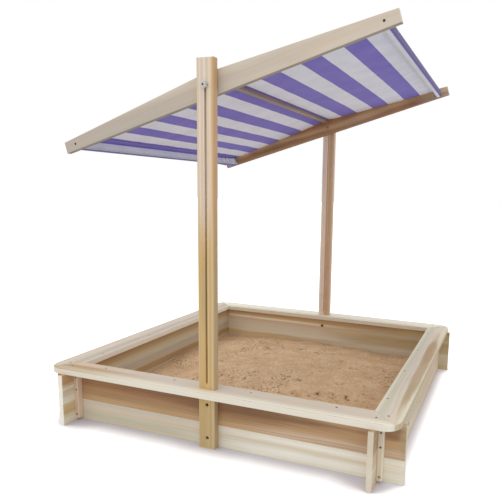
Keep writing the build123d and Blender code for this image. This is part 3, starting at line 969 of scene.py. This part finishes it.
class Posts(Joinery):
    """The slotted posts with the bolts that hold them to the walls."""

    FITTINGS = {
        "bolt_steel_posts": (DARK_BOLT_STEEL, ("post_bolts", "post_bolt_nuts", "post_bolt_washers")),
    }

    def woods(self) -> dict[str, WoodFinish]:
        """Choose the look of each post.

        Returns:
            The finish of each wooden node.
        """
        t = Tint
        return {
            "post_front": WoodFinish(
                Lay.UPRIGHT,
                ((-28, t.STRAW), (-23, t.GOLD), (-4, t.GOLD), (4, t.STRAW), (12, t.GOLD), (22, t.STRAW),
                 (26, t.FAWN), (28, t.OLIVE)),
                far_bands=((-28, t.STRAW), (-23, t.CREAM), (-17, t.SHELL), (-9, t.ASH), (-3, t.SHELL),
                           (6, t.CREAM), (14, t.SHELL), (21, t.STRAW), (25, t.TAN), (28, t.TAN)),
                turn_mm=(-60, 230), seed=51.0, pith_mm=(-4, -34), wander_mm=2, ring_mm=4.2,
                ring_depth=0.4, patch_share=0.25,
                # the first olive blotch, at the foot, paints the rim's shade on the post
                blotches=(Blotch(-540, 0, 110, 60, t.OLIVE, 0.4), Blotch(-110, -8, 110, 10, t.OLIVE, 0.5)),
            ),
            "post_back": WoodFinish(
                Lay.UPRIGHT,
                ((-28, t.BRIGHT), (-16, t.SHELL), (-5, t.SHELL), (4, t.TAN), (12, t.TAN), (28, t.PINKISH)),
                seed=52.0, pith_mm=(6, -34), wander_mm=3, ring_mm=4.2, ring_depth=0.4, patch=t.LILAC,
            ),
        }


# ---- the canopy -----------------------------------------------------------------
class CanopyFrame(Joinery):
    """The two peaked beams, the three bars between them and their screws."""

    FITTINGS = {"screw_steel_canopy": (SCREW_STEEL, ("canopy_screws",))}

    def woods(self) -> dict[str, WoodFinish]:
        """Choose the look of each beam and bar.

        Returns:
            The finish of each wooden node.
        """
        t = Tint
        return {
            "canopy_beam_front": WoodFinish(
                Lay.BEAM, ((-17, t.SILVER), (15, t.SILVER), (45, t.ASH)),
                far_bands=((-17, t.ASH), (8, t.ASH), (45, t.ASH)), turn_mm=(-300, 400),
                seed=61.0, pith_mm=(-130, 20), wander_mm=2, ring_mm=4.4, ring_depth=0.26, patch=t.SILVER,
                # the moss edge is painted shade on the beam's lower face
                patch_share=0.3, edge=t.MOSS,
            ),
            "canopy_beam_back": WoodFinish(
                # the dark reds and browns are wood tone and painted shade of the inner face under the
                # cloth; the umber edge is painted shade on its lower face
                Lay.BEAM, ((-17, t.CARAMEL), (-4, t.BROWN), (12, t.TAN), (34, t.BROWN)),
                far_bands=((-17, t.SILVER), (10, t.BISCUIT), (34, t.FAWN)), turn_mm=(400, 500),
                seed=62.0, pith_mm=(-90, 20), wander_mm=6, ring_mm=4.6, ring_depth=0.75, patch=t.RED_BROWN,
                patch_share=0.5, edge=t.UMBER, end_share=0.2,
                blotches=(Blotch(120, 2, 130, 8, t.PINKISH, 0.4), Blotch(-300, 4, 120, 9, t.UMBER, 0.5)),
            ),
            "canopy_bar_low": WoodFinish(
                Lay.BAR, ((-15, t.CREAM), (15, t.PINKISH)), seed=63.0, wander_mm=4,
            ),
            "canopy_bar_high": WoodFinish(
                Lay.BAR, ((-15, t.PINKISH), (15, t.CREAM)), seed=64.0, wander_mm=4,
            ),
            "canopy_bar_ridge": WoodFinish(
                Lay.BAR, ((-15, t.SMOKE), (15, t.SMOKE)), seed=65.0, wander_mm=4,
                patch=t.OLIVE, patch_share=0.4, knots=(Knot(0, 0, 6, 0.7),),
            ),
        }


@dataclass
class CanopyCloth:
    """The striped cloth: one sheet over the ridge bar with a sewn sleeve round each end bar.

    Along is the way up the slope from the pivot, across is the way to the back, and up is
    square to the slope, from the lower edge of the beams.
    """

    thick_mm: float = 0.9
    reach_mm: float = 507.8  # half its width
    bar_from_pivot_mm: float = 507.0
    bar_w_mm: float = 16.0
    bar_low_mm: float = 4.0
    bar_high_mm: float = 34.0
    ridge_half_mm: float = 7.0
    ridge_top_mm: float = 66.08
    ridge_crown_mm: float = 0.2
    lift_mm: float = 0.75  # middle of the cloth above the wood that it lies on
    corner_mm: float = 2.4
    corner_in: float = 0.3  # middle of a round corner inside the sharp one, in corners
    flap_mm: float = 23.0  # sewn down inside the sleeve
    flap_drop_mm: float = 1.7

    sag_mm: float = 3.0
    droop_mm: float = 4.5  # of the two free edges
    wrinkle_mm: float = 2.0  # of the folds that run out from the bars
    slack_mm: float = 1.1  # of the soft waves between the bars

    loose_mm: float = 105.0  # how far the low sleeve is bunched up from its end at the back
    crumple_mm: float = 7.5  # from one of its folds to the next
    bulge_mm: float = 5.5  # how far it stands out there
    fold_mm: float = 15.0  # how much further a full fold does

    row_mm: float = 7.0  # from one row of the mesh to the next, along the slope
    column_mm: float = 8.5
    column_fine_mm: float = 2.1  # where the cloth is bunched up
    fine_share: float = 1.9  # how far the fine columns reach, in lengths of the bunched end

    stitch_mm: float = 4.4
    thread_mm: float = 0.42  # half the thickness of the thread
    seam_mm: float = 6.0  # from the sleeve to its seam
    hem_mm: float = 4.0  # from a seam to the edge of the cloth

    slope_extra_mm: float = 1.5  # way up the slope and round the corner, past the level way
    low_first_mm: float = -465.0  # first edge of the stripes on the low half
    low_width_mm: float = 53.2
    low_growth_mm: float = 1.47
    low_edges: int = 8
    ridge_edge_mm: float = 17.0  # where the stripe over the ridge ends, on the high half
    high_first_mm: float = 76.5
    high_width_mm: float = 73.43
    high_growth_mm: float = -1.07
    high_edges: int = 7
    low_corner_mm: float = 5.0  # from a stripe's edge on the low sleeve to the sleeve's corner
    high_corner_mm: float = 4.0
    past_mm: tuple[float, float] = (60.0, 160.0)  # puts the outermost edges past both flaps

    # painted shade of the cloth, 0 to 1: of the sleeves, where the wood inside keeps out the light through
    # the cloth, and of the bunched sleeve and its creases
    shade_high: float = 0.17  # painted shade of the high sleeve, where the wood inside keeps out the light through the cloth
    shade_low: float = 0.06
    shade_under: float = 0.55  # painted shade under the low sleeve
    shade_loose: float = 0.12  # painted shade where the sleeve is bunched up
    shade_crease: float = 2.6  # how much darker the painted shade makes a crease

    def edges(self) -> list[float]:
        """Find where purple and white meet, the first stripe being purple.

        Returns:
            The way along the cloth from the ridge to each edge in millimetres, the low end first.
        """
        face = self.bar_high_mm - self.bar_low_mm
        turn = self.bar_from_pivot_mm + self.bar_w_mm / 2 + self.slope_extra_mm
        under = turn + face
        around = under + self.bar_w_mm
        inside = around + face
        corner = self.low_corner_mm
        return [
            -inside - self.past_mm[0], -inside + corner, -around, -under, -turn + corner,
            *self._run(self.low_first_mm, self.low_width_mm, self.low_growth_mm, self.low_edges),
            self.ridge_edge_mm,
            *self._run(self.high_first_mm, self.high_width_mm, self.high_growth_mm, self.high_edges),
            under + self.high_corner_mm, under + self.past_mm[1],
        ]

    @staticmethod
    def _run(start: float, width: float, growth: float, count: int) -> list[float]:
        """List the edges of a run of stripes, each wider than the last one by the growth."""
        return [start + step * width + growth * step * (step - 1) / 2 for step in range(count)]

    def tight_up(self, along_mm: float) -> float:
        """Find the height of the sheet where it is pulled tight, with no sag and no wrinkles.

        Args:
            along_mm: Place along the slope, between the end bars.

        Returns:
            The height of its middle, in millimetres.
        """
        slope = (self.ridge_top_mm - self.bar_high_mm) / (self.bar_from_pivot_mm - self.ridge_half_mm)
        down = slope * max(abs(along_mm) - self.ridge_half_mm, 0.0)
        return self.ridge_top_mm + self.lift_mm - down

    def half_profile(self) -> list[tuple[float, float]]:
        """Trace the sleeve of the high end.

        Returns:
            Its corners as (along, up), from the top of the bar round it to the flap's edge.
        """
        bar, half, corner = self.bar_from_pivot_mm, self.bar_w_mm / 2, self.corner_mm
        top, low = self.bar_high_mm + self.lift_mm, self.bar_low_mm - self.lift_mm
        inner, outer = bar - half - self.lift_mm, bar + half + self.lift_mm
        near = self.corner_in * corner
        seam = self.tight_up(inner) - self.flap_drop_mm
        flap_edge = inner - self.flap_mm
        return [
            (bar, top),
            (outer - corner, top), (outer - near, top - near), (outer, top - corner),
            (outer, low + corner), (outer - near, low + near), (outer - corner, low),
            (inner + corner, low), (inner + near, low + near), (inner, low + corner),
            (inner, seam - corner), (inner - 0.6 * corner, seam - 0.2 * corner),
            (flap_edge, self.tight_up(flap_edge) - self.flap_drop_mm),
        ]

    def profile(self) -> list[tuple[float, float, float, float]]:
        """Trace the cloth across the slope.

        Returns:
            Points as (along, up, way, stripe), from the flap at the low end to the one at
            the high end: the place and the way along the cloth from the ridge in
            millimetres, and the number of stripe edges before it.
        """
        right = self.half_profile()
        left = [(-along, up) for along, up in reversed(right)]
        half, ridge = self.ridge_half_mm, self.tight_up(0.0)
        crown = (0.0, ridge + self.ridge_crown_mm)
        corners = [*left, (-half, ridge), crown, (half, ridge), *right]

        steps = [math.dist(start, stop) for start, stop in zip(corners, corners[1:])]
        ways = np.cumsum([0.0, *steps])
        ways -= ways[corners.index(crown)]
        edges = self.edges()
        marks = sorted({*ways.tolist(), *(edge for edge in edges if ways[0] < edge < ways[-1])})
        rows = [marks[0]]
        for start, stop in zip(marks, marks[1:]):
            count = max(1, round((stop - start) / self.row_mm))
            rows.extend(start + (stop - start) * step / count for step in range(1, count + 1))
        along, up = np.array(corners).T
        return [
            (float(np.interp(way, ways, along)), float(np.interp(way, ways, up)), way,
             float(np.interp(way, edges, range(len(edges)))))
            for way in rows
        ]

    def relief(self, along_mm: float, across_mm: float) -> float:
        """Work out the sag and the wrinkles of the sheet.

        Args:
            along_mm: Place along the slope.
            across_mm: Place across it.

        Returns:
            How far they raise the cloth, in millimetres.
        """
        free = self.bar_from_pivot_mm - self.bar_w_mm / 2 - self.ridge_half_mm
        share = (abs(along_mm) - self.ridge_half_mm) / free
        if not 0 < share < 1:
            return 0.0
        off_edge = abs(across_mm / self.reach_mm)
        hang = math.sin(math.pi * share)
        sag = -self.sag_mm * hang * (0.35 + 0.65 * (1 - off_edge**4))
        pull = math.exp(-(1 - share) * 5) + 0.6 * math.exp(-share * 7)
        spot = Vector((along_mm / 240, across_mm / 34, 3.0))
        folds = noise.noise(spot) * self.wrinkle_mm * pull * min(1.0, 8 * hang)
        spot = Vector((along_mm / 90, across_mm / 70, 9.0))
        slack = noise.noise(spot) * self.slack_mm * min(1.0, 3 * hang)
        droop = -self.droop_mm * off_edge**7 * min(1.0, 4 * hang)
        return sag + folds + slack + droop

    def bunching(self, along_mm: float, up_mm: float, across_mm: float) -> tuple[float, float]:
        """Say how bunched up the low sleeve is, 0 to 1, and how far a fold stands out, -1 to 1."""
        loose = math.exp(-(((self.reach_mm - across_mm) / self.loose_mm) ** 2))
        return loose, noise.noise(Vector((across_mm / self.crumple_mm, up_mm / 26, 5.0 + along_mm / 30)))

    def point(self, along_mm: float, up_mm: float, across_mm: float) -> Vector:
        """Place a point of the profile, with sag, wrinkles and the bunched end.

        Args:
            along_mm: Place along the slope.
            up_mm: Height on the tight cloth.
            across_mm: Place across the slope.

        Returns:
            The point in the frame.
        """
        along, up = along_mm, up_mm + self.relief(along_mm, across_mm)
        off_bar, half = along_mm + self.bar_from_pivot_mm, self.bar_w_mm / 2
        if off_bar < half + 2 and up_mm < self.bar_high_mm + 2:
            loose, fold = self.bunching(along_mm, up_mm, across_mm)
            side = math.copysign(1.0, off_bar) * min(1.0, abs(off_bar) / half)
            along += side * loose * (self.bulge_mm + self.fold_mm * fold)
            if up_mm < self.bar_low_mm + 2:
                up -= loose * max(0.2, 1.0 + 1.6 * fold)
        return in_canopy(along * MM, across_mm * MM, up * MM)

    def painted_shade(self, along_mm: float, up_mm: float, across_mm: float) -> float:
        """Say how much painted shade the cloth gets where wood lies behind it and in the creases of a
        fold.

        Args:
            along_mm: Place along the slope.
            up_mm: Height on the tight cloth.
            across_mm: Place across the slope.

        Returns:
            A share, 0 to 1.
        """
        if up_mm > self.tight_up(along_mm) - self.flap_drop_mm / 2:
            return 0.0
        if along_mm > 0:
            outside = along_mm > self.bar_from_pivot_mm + self.bar_w_mm / 2
            return 1.0 if outside else self.shade_high
        loose, fold = self.bunching(along_mm, up_mm, across_mm)
        tight = self.shade_under if up_mm < self.bar_low_mm + 3 else self.shade_low
        crease = min(1.0, max(0.0, self.shade_loose - self.shade_crease * fold))
        return tight * (1 - loose) + crease * loose

    def build(self) -> bpy.types.Object:
        """Sew the cloth and its stitching.

        Returns:
            The cloth.
        """
        sheet = self.make_sheet()
        stitches = self.make_stitches()
        sheet.data.materials.append(ClothFinish().material("striped_cloth"))
        stitches.data.materials.append(ThreadFinish().material("sewing_thread"))
        for piece in (sheet, stitches):
            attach(piece, "canopy")
        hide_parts("canopy_cloth")
        profile = self.profile()
        flat = (2 * self.reach_mm * MM, (profile[-1][2] - profile[0][2]) * MM)
        LOG.info("%s: %.3f m by %.3f m", sheet.name, *flat)
        return sheet

    def make_sheet(self) -> bpy.types.Object:
        """Make the sheet with its sleeves, as thick as the cloth is.

        Returns:
            The sheet.
        """
        profile = self.profile()
        fine_mm = self.fine_share * self.loose_mm
        coarse_end = self.reach_mm - fine_mm
        columns = round((self.reach_mm + coarse_end) / self.column_mm) + 1
        coarse = np.linspace(-self.reach_mm, coarse_end, columns)
        fine = np.linspace(coarse_end, self.reach_mm, round(fine_mm / self.column_fine_mm) + 1)
        across = [*coarse.tolist(), *fine.tolist()[1:]]
        width = len(across)
        grid = [(along, up, y) for along, up, *_ in profile for y in across]
        faces = [
            (start, start + 1, start + width + 1, start + width)
            for row in range(len(profile) - 1)
            for start in range(row * width, (row + 1) * width - 1)
        ]
        mesh = bpy.data.meshes.new("striped_cloth")
        mesh.from_pydata([self.point(*spot) for spot in grid], [], faces)
        stripes = [row[3] for row in profile for _ in across]
        # painted shade from the wood behind the cloth and from the creases
        painted_shade = [self.painted_shade(*spot) for spot in grid]
        for name, values in (("stripe", stripes), ("painted_shade", painted_shade)):
            mesh.attributes.new(name, "FLOAT", "POINT").data.foreach_set("value", values)
        layer = mesh.uv_layers.new(name="cloth")
        for loop in mesh.loops:
            row, col = divmod(loop.vertex_index, width)
            layer.data[loop.index].uv = (profile[row][2] * MM, across[col] * MM)
        sheet = bpy.data.objects.new("striped_cloth", mesh)
        bpy.context.scene.collection.objects.link(sheet)
        solid = sheet.modifiers.new("thickness", "SOLIDIFY")
        solid.thickness = self.thick_mm * MM
        solid.offset = 0.0
        apply_modifiers(sheet)
        bpy.ops.object.shade_smooth_by_angle(angle=math.radians(50))
        return sheet

    def make_stitches(self) -> bpy.types.Object:
        """Make the rows of stitches that close the two sleeves, seen above and under the sheet.

        Returns:
            The stitches, joined.
        """
        deselect_all()
        bpy.ops.mesh.primitive_uv_sphere_add(segments=6, ring_count=4, radius=1.0)
        stitch = bpy.context.object
        stitch.name = "sewn_stitches"
        thread = self.thread_mm * MM
        stitch.scale = (thread, 0.4 * self.stitch_mm * MM, thread)
        apply_place(stitch)
        shape = np.array([vertex.co for vertex in stitch.data.vertices])
        faces = [tuple(face.vertices) for face in stitch.data.polygons]

        inner = self.bar_from_pivot_mm - self.bar_w_mm / 2 - self.lift_mm
        count = int(2 * (self.reach_mm - self.hem_mm) / self.stitch_mm)
        seams = [
            end * (inner - back_mm)
            for end in (-1, 1) for back_mm in (self.seam_mm, self.flap_mm - self.hem_mm)
        ]
        points, shells = [], []
        for along in seams:
            tight = self.tight_up(along)
            for step in range(count):
                y = -self.reach_mm + self.hem_mm + (step + 0.5) * self.stitch_mm
                for up in (tight - self.flap_drop_mm - self.thick_mm / 2, tight + self.thick_mm / 2):
                    start = len(points)
                    middle = self.point(along, up, y)
                    points.extend(middle + Vector(offset) for offset in shape)
                    shells.extend(tuple(start + index for index in face) for face in faces)
        mesh = stitch.data
        mesh.clear_geometry()
        mesh.from_pydata(points, [], shells)
        make_active(stitch)
        bpy.ops.object.shade_smooth()
        return stitch


class PivotHardware(Joinery):
    """The bolts that carry the canopy, with their spacers, washers, knobs and inserts."""

    FITTINGS = {
        "washer_steel_pivots": (BOLT_STEEL, ("knob_washers",)),
        "bolt_steel_pivots": (TARNISHED_STEEL, ("pivot_bolt_front", "pivot_bolt_back")),
        "insert_brass": (INSERT_BRASS, ("knob_insert_front", "knob_insert_back")),
        "knob_plastic": (KNOB_PLASTIC, ("knob_front", "knob_back")),
        "spacer_plastic": (SPACER_PLASTIC, ("pivot_spacers",)),
    }


# ---- sand -----------------------------------------------------------------------
@dataclass
class Sand:
    """Play sand, heaped a little and dug about, level against the walls."""

    cells: int = 296
    level_mm: float = 38.0
    top_mm: float = 78.0
    heap_at_mm: tuple[float, float] = (-40.0, 90.0)
    heap_reach_mm: float = 520.0
    swell_mm: float = 7.0  # of the wide waves, each way
    lump_mm: float = 2.6
    bounds_mm: tuple[float, float] = (14.0, 84.0)  # lowest and highest it may be
    wall_dip_mm: float = 1.5  # how much lower it lies along the walls
    wall_near_mm: float = 4.0

    seed: int = 11
    spread_mm: float = 42.0  # of a cluster's holes round its middle
    cluster_radius_mm: tuple[float, float] = (4.5, 9.0)
    cluster_depth_mm: tuple[float, float] = (4.0, 10.0)
    loose_holes: int = 110
    loose_reach_mm: float = 470.0
    loose_radius_mm: tuple[float, float] = (5.0, 10.0)
    loose_depth_mm: tuple[float, float] = (2.0, 6.0)
    clusters_mm: tuple[tuple[float, float, int], ...] = (
        (-400, 380, 22), (-230, 460, 12), (-237, 243, 14), (-136, 144, 7), (-69, 288, 6), (106, 320, 12),
        (260, 237, 10), (157, 72, 7), (244, 133, 6), (85, -37, 9), (197, -171, 14), (250, -106, 10),
        (320, -110, 14), (385, 266, 10), (377, 102, 7),
    )

    def holes(self) -> list[tuple[float, float, float, float]]:
        """Choose the holes dug in the sand.

        Returns:
            Each hole as (x, y, radius, depth) in millimetres.
        """
        pick = random.Random(self.seed)
        holes = []
        for x, y, count in self.clusters_mm:
            for _ in range(count):
                spot = (pick.gauss(x, self.spread_mm), pick.gauss(y, self.spread_mm))
                size = (pick.uniform(*self.cluster_radius_mm), pick.uniform(*self.cluster_depth_mm))
                holes.append((*spot, *size))
        reach = self.loose_reach_mm
        for _ in range(self.loose_holes):
            spot = (pick.uniform(-reach, reach), pick.uniform(-reach, reach))
            size = (pick.uniform(*self.loose_radius_mm), pick.uniform(*self.loose_depth_mm))
            holes.append((*spot, *size))
        return holes

    def build(self) -> bpy.types.Object:
        """Heap the sand and dig its holes.

        Returns:
            The sand.
        """
        low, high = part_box("sand")
        centre, size = (low + high) / 2, high - low
        deselect_all()
        bpy.ops.mesh.primitive_grid_add(
            x_subdivisions=self.cells, y_subdivisions=self.cells, size=1.0,
            location=(centre.x, centre.y, self.level_mm * MM),
        )
        sand = bpy.context.object
        sand.name = "play_sand"
        sand.scale = (size.x, size.y, 1.0)
        apply_place(sand)
        bpy.ops.object.mode_set(mode="EDIT")
        bpy.ops.mesh.select_all(action="DESELECT")
        bpy.ops.mesh.select_mode(type="EDGE")
        bpy.ops.mesh.select_non_manifold()
        bpy.ops.mesh.extrude_edges_move(TRANSFORM_OT_translate={"value": (0, 0, -self.level_mm * MM)})
        bpy.ops.mesh.edge_face_add()
        bpy.ops.mesh.select_all(action="SELECT")
        bpy.ops.mesh.normals_make_consistent(inside=False)
        bpy.ops.object.mode_set(mode="OBJECT")

        mesh = sand.data
        spots = np.empty(len(mesh.vertices) * 3)
        mesh.vertices.foreach_get("co", spots)
        spots = spots.reshape(-1, 3)
        upper = spots[:, 2] > 0.5 * self.level_mm * MM
        rise, hole_shade = self.heights(spots[:, 0] / MM, spots[:, 1] / MM, size / (2 * MM))
        spots[upper, 2] = rise[upper] * MM
        mesh.vertices.foreach_set("co", spots.ravel())
        # how much painted shade each point gets, deepest in a hole
        marks = mesh.attributes.new("hole_shade", "FLOAT", "POINT")
        marks.data.foreach_set("value", np.where(upper, hole_shade, 0.0))
        bpy.ops.object.shade_smooth_by_angle(angle=math.radians(60))

        mesh.materials.append(SandFinish().material("play_sand"))
        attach(sand, "box")
        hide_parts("sand")
        LOG.info("%s: %d faces", sand.name, len(mesh.polygons))
        return sand

    def heights(self, x: np.ndarray, y: np.ndarray, half: Vector) -> tuple[np.ndarray, np.ndarray]:
        """Work out the surface of the sand.

        Args:
            x: Places along the front, in millimetres.
            y: Places towards the back, in millimetres.
            half: Half the size of the box inside, in millimetres.

        Returns:
            The height at each place, in millimetres, and how far it is in a hole, 0 to 1.
        """
        heap_x, heap_y = self.heap_at_mm
        far = np.hypot(x - heap_x, y - heap_y) / self.heap_reach_mm
        rise = self.level_mm + (self.top_mm - self.level_mm) * np.clip(1 - far**2, 0, 1)
        swell = np.array([noise.fractal((a / 190, b / 150, 1.0), 1.0, 2.0, 3) for a, b in zip(x, y)])
        lumps = np.array([noise.fractal((a / 42, b / 34, 7.0), 0.7, 2.1, 4) for a, b in zip(x, y)])
        rise = rise + self.swell_mm * swell + self.lump_mm * lumps
        hole_shade = np.zeros_like(rise)
        for hole_x, hole_y, radius, depth in self.holes():
            off = np.hypot(x - hole_x, y - hole_y) / radius
            near = off < 3
            dip = np.exp(-(off[near] ** 2) * 1.3)
            brim = 0.3 * np.exp(-((off[near] - 1.5) ** 2) * 5)
            rise[near] += depth * (brim - dip)
            hole_shade[near] = np.maximum(hole_shade[near], dip * depth / self.cluster_depth_mm[1])
        off_walls = [np.clip((half.x - np.abs(x)) / self.wall_near_mm, 0, 1),
                     np.clip((half.y - np.abs(y)) / self.wall_near_mm, 0, 1)]
        dip = self.wall_dip_mm * (1 - off_walls[0] * off_walls[1])
        return np.clip(rise, *self.bounds_mm) - dip, hole_shade


# ---- studio ---------------------------------------------------------------------
@dataclass
class Studio:
    """The pale floor, the soft light and the camera."""

    picture_px: float = 500.0
    focal_px: float = 541.1
    middle_px: tuple[float, float] = (309.95, 275.6)  # where the lens points, in the picture
    azimuth_deg: float = 20.16
    elevation_deg: float = 9.14
    roll_deg: float = 1.44
    eye: tuple[float, float, float] = (0.8174, -1.9026, 0.7924)

    floor_size: float = 60.0
    floor_lift: float = 0.5  # glow of the open floor
    side_lift: float = 0.14  # more of it left and right of the box
    side_fade: tuple[float, float] = (0.5, 0.6)  # from the middle, where that sets in
    shade_reach: float = 0.115  # how far from the object the floor is shaded
    shade_less: float = 0.055  # how much less far that is left and right of the box
    shade_fade: tuple[float, float] = (0.45, 0.62)
    shade_depth: tuple[float, float] = (0.5, 0.97)  # openness of full shade and of none
    floor_lit: Colour = linear(228, 228, 228)  # the floor as it lights the object
    floor_open: Colour = linear(246, 246, 246)
    floor_shade: Colour = linear(217, 214, 224)

    ambient: float = 0.88
    sun_power: float = 0.55
    sun_spread_deg: float = 60.0
    sun_azimuth_deg: float = -60.0
    sun_elevation_deg: float = 66.0

    def build(self) -> None:
        """Set up the floor, the lights and the camera."""
        self.make_floor()
        self.light_world()
        self.add_sun()
        self.add_camera()
        bpy.context.scene.view_settings.view_transform = "Standard"

    @staticmethod
    def heading(azimuth_deg: float, elevation_deg: float) -> Vector:
        """The way at an angle from straight back, clockwise from above, and one up from level."""
        azimuth, up = math.radians(azimuth_deg), math.radians(elevation_deg)
        return Vector((math.sin(azimuth) * math.cos(up), math.cos(azimuth) * math.cos(up), math.sin(up)))

    @staticmethod
    def shown_ray(graph: Graph) -> Wire:
        """Tell the rays that show the background: seen directly, in gloss or through glass.

        Args:
            graph: The material, or the world.

        Returns:
            1 for such a ray, 0 for others.
        """
        path = graph.node("ShaderNodeLightPath", output="Is Camera Ray")
        outputs = path.socket.node.outputs
        shown = path + Wire(graph, outputs["Is Glossy Ray"]) + Wire(graph, outputs["Is Transmission Ray"])
        return shown.step(0.0, 1.0)

    def make_floor(self) -> None:
        """Lay the floor, a matt white sheet that keeps the shadow at the object's foot, with painted
        shadow there from ambient occlusion as the camera sees it.
        """
        deselect_all()
        bpy.ops.mesh.primitive_plane_add(size=self.floor_size)
        floor = bpy.context.object
        floor.name = "studio_floor"
        graph = Graph("studio_floor")
        aside = graph.split(graph.spot())[0].size()
        reach = aside.step(*self.shade_fade) * -self.shade_less + self.shade_reach
        # painted shadow: for the camera the floor darkens near the object by its ambient occlusion, and
        # glows less there
        openness = graph.node("ShaderNodeAmbientOcclusion", {"samples": 16}, {"Distance": reach}, "AO")
        openness = openness.step(*self.shade_depth)
        seen = graph.mix(openness, self.floor_shade, self.floor_open)
        graph.feed("Base Color", graph.mix(self.shown_ray(graph), self.floor_lit, seen))
        graph.feed("Roughness", 0.95)
        graph.feed("Specular IOR Level", 0.0)
        graph.feed("Emission Color", WHITE)
        beside = aside.step(*self.side_fade) * self.side_lift
        shown = graph.node("ShaderNodeLightPath", output="Is Camera Ray")
        graph.feed("Emission Strength", shown * (openness * self.floor_lift + beside))
        floor.data.materials.append(graph.owner)

    def light_world(self) -> None:
        """Light evenly from all round; what is seen of the world is white."""
        graph = Graph("studio", world=True)
        graph.feed("Color", WHITE)
        graph.feed("Strength", self.shown_ray(graph) * (1.0 - self.ambient) + self.ambient)
        bpy.context.scene.world = graph.owner

    def add_sun(self) -> None:
        """Hang a wide, soft light up on the left in front."""
        lamp = bpy.data.lights.new("soft_light", "SUN")
        lamp.energy = self.sun_power
        lamp.angle = math.radians(self.sun_spread_deg)
        sun = bpy.data.objects.new("soft_light", lamp)
        bpy.context.scene.collection.objects.link(sun)
        toward = self.heading(180 - self.sun_azimuth_deg, self.sun_elevation_deg)
        sun.rotation_euler = toward.to_track_quat("Z", "Y").to_euler()

    def add_camera(self) -> None:
        """Stand the camera where the photograph was taken from."""
        roll = math.radians(self.roll_deg)
        forward = self.heading(-self.azimuth_deg, -self.elevation_deg)
        level = forward.cross(Vector((0, 0, 1))).normalized()
        upright = level.cross(forward)
        right = math.cos(roll) * level + math.sin(roll) * upright
        up = math.cos(roll) * upright - math.sin(roll) * level
        data = bpy.data.cameras.new("camera")
        data.sensor_width = 36.0
        data.lens = self.focal_px / self.picture_px * data.sensor_width
        data.shift_x = (self.picture_px / 2 - self.middle_px[0]) / self.picture_px
        data.shift_y = (self.middle_px[1] - self.picture_px / 2) / self.picture_px
        data.clip_start, data.clip_end = 0.05, 200.0
        camera = bpy.data.objects.new("camera", data)
        turn = Matrix((right, up, -forward)).transposed().to_4x4()
        camera.matrix_world = Matrix.Translation(self.eye) @ turn
        bpy.context.scene.collection.objects.link(camera)
        bpy.context.scene.camera = camera


def main() -> None:
    """Build each sub-assembly, then the studio."""
    logging.basicConfig(level=logging.INFO, format="%(name)s: %(message)s")
    for part in (BoxWalls(), SeatRim(), Posts(), CanopyFrame(), CanopyCloth(), PivotHardware(), Sand()):
        part.build()
        LOG.info("%s done", type(part).__name__)
    Studio().build()


if __name__ == "__main__":
    main()
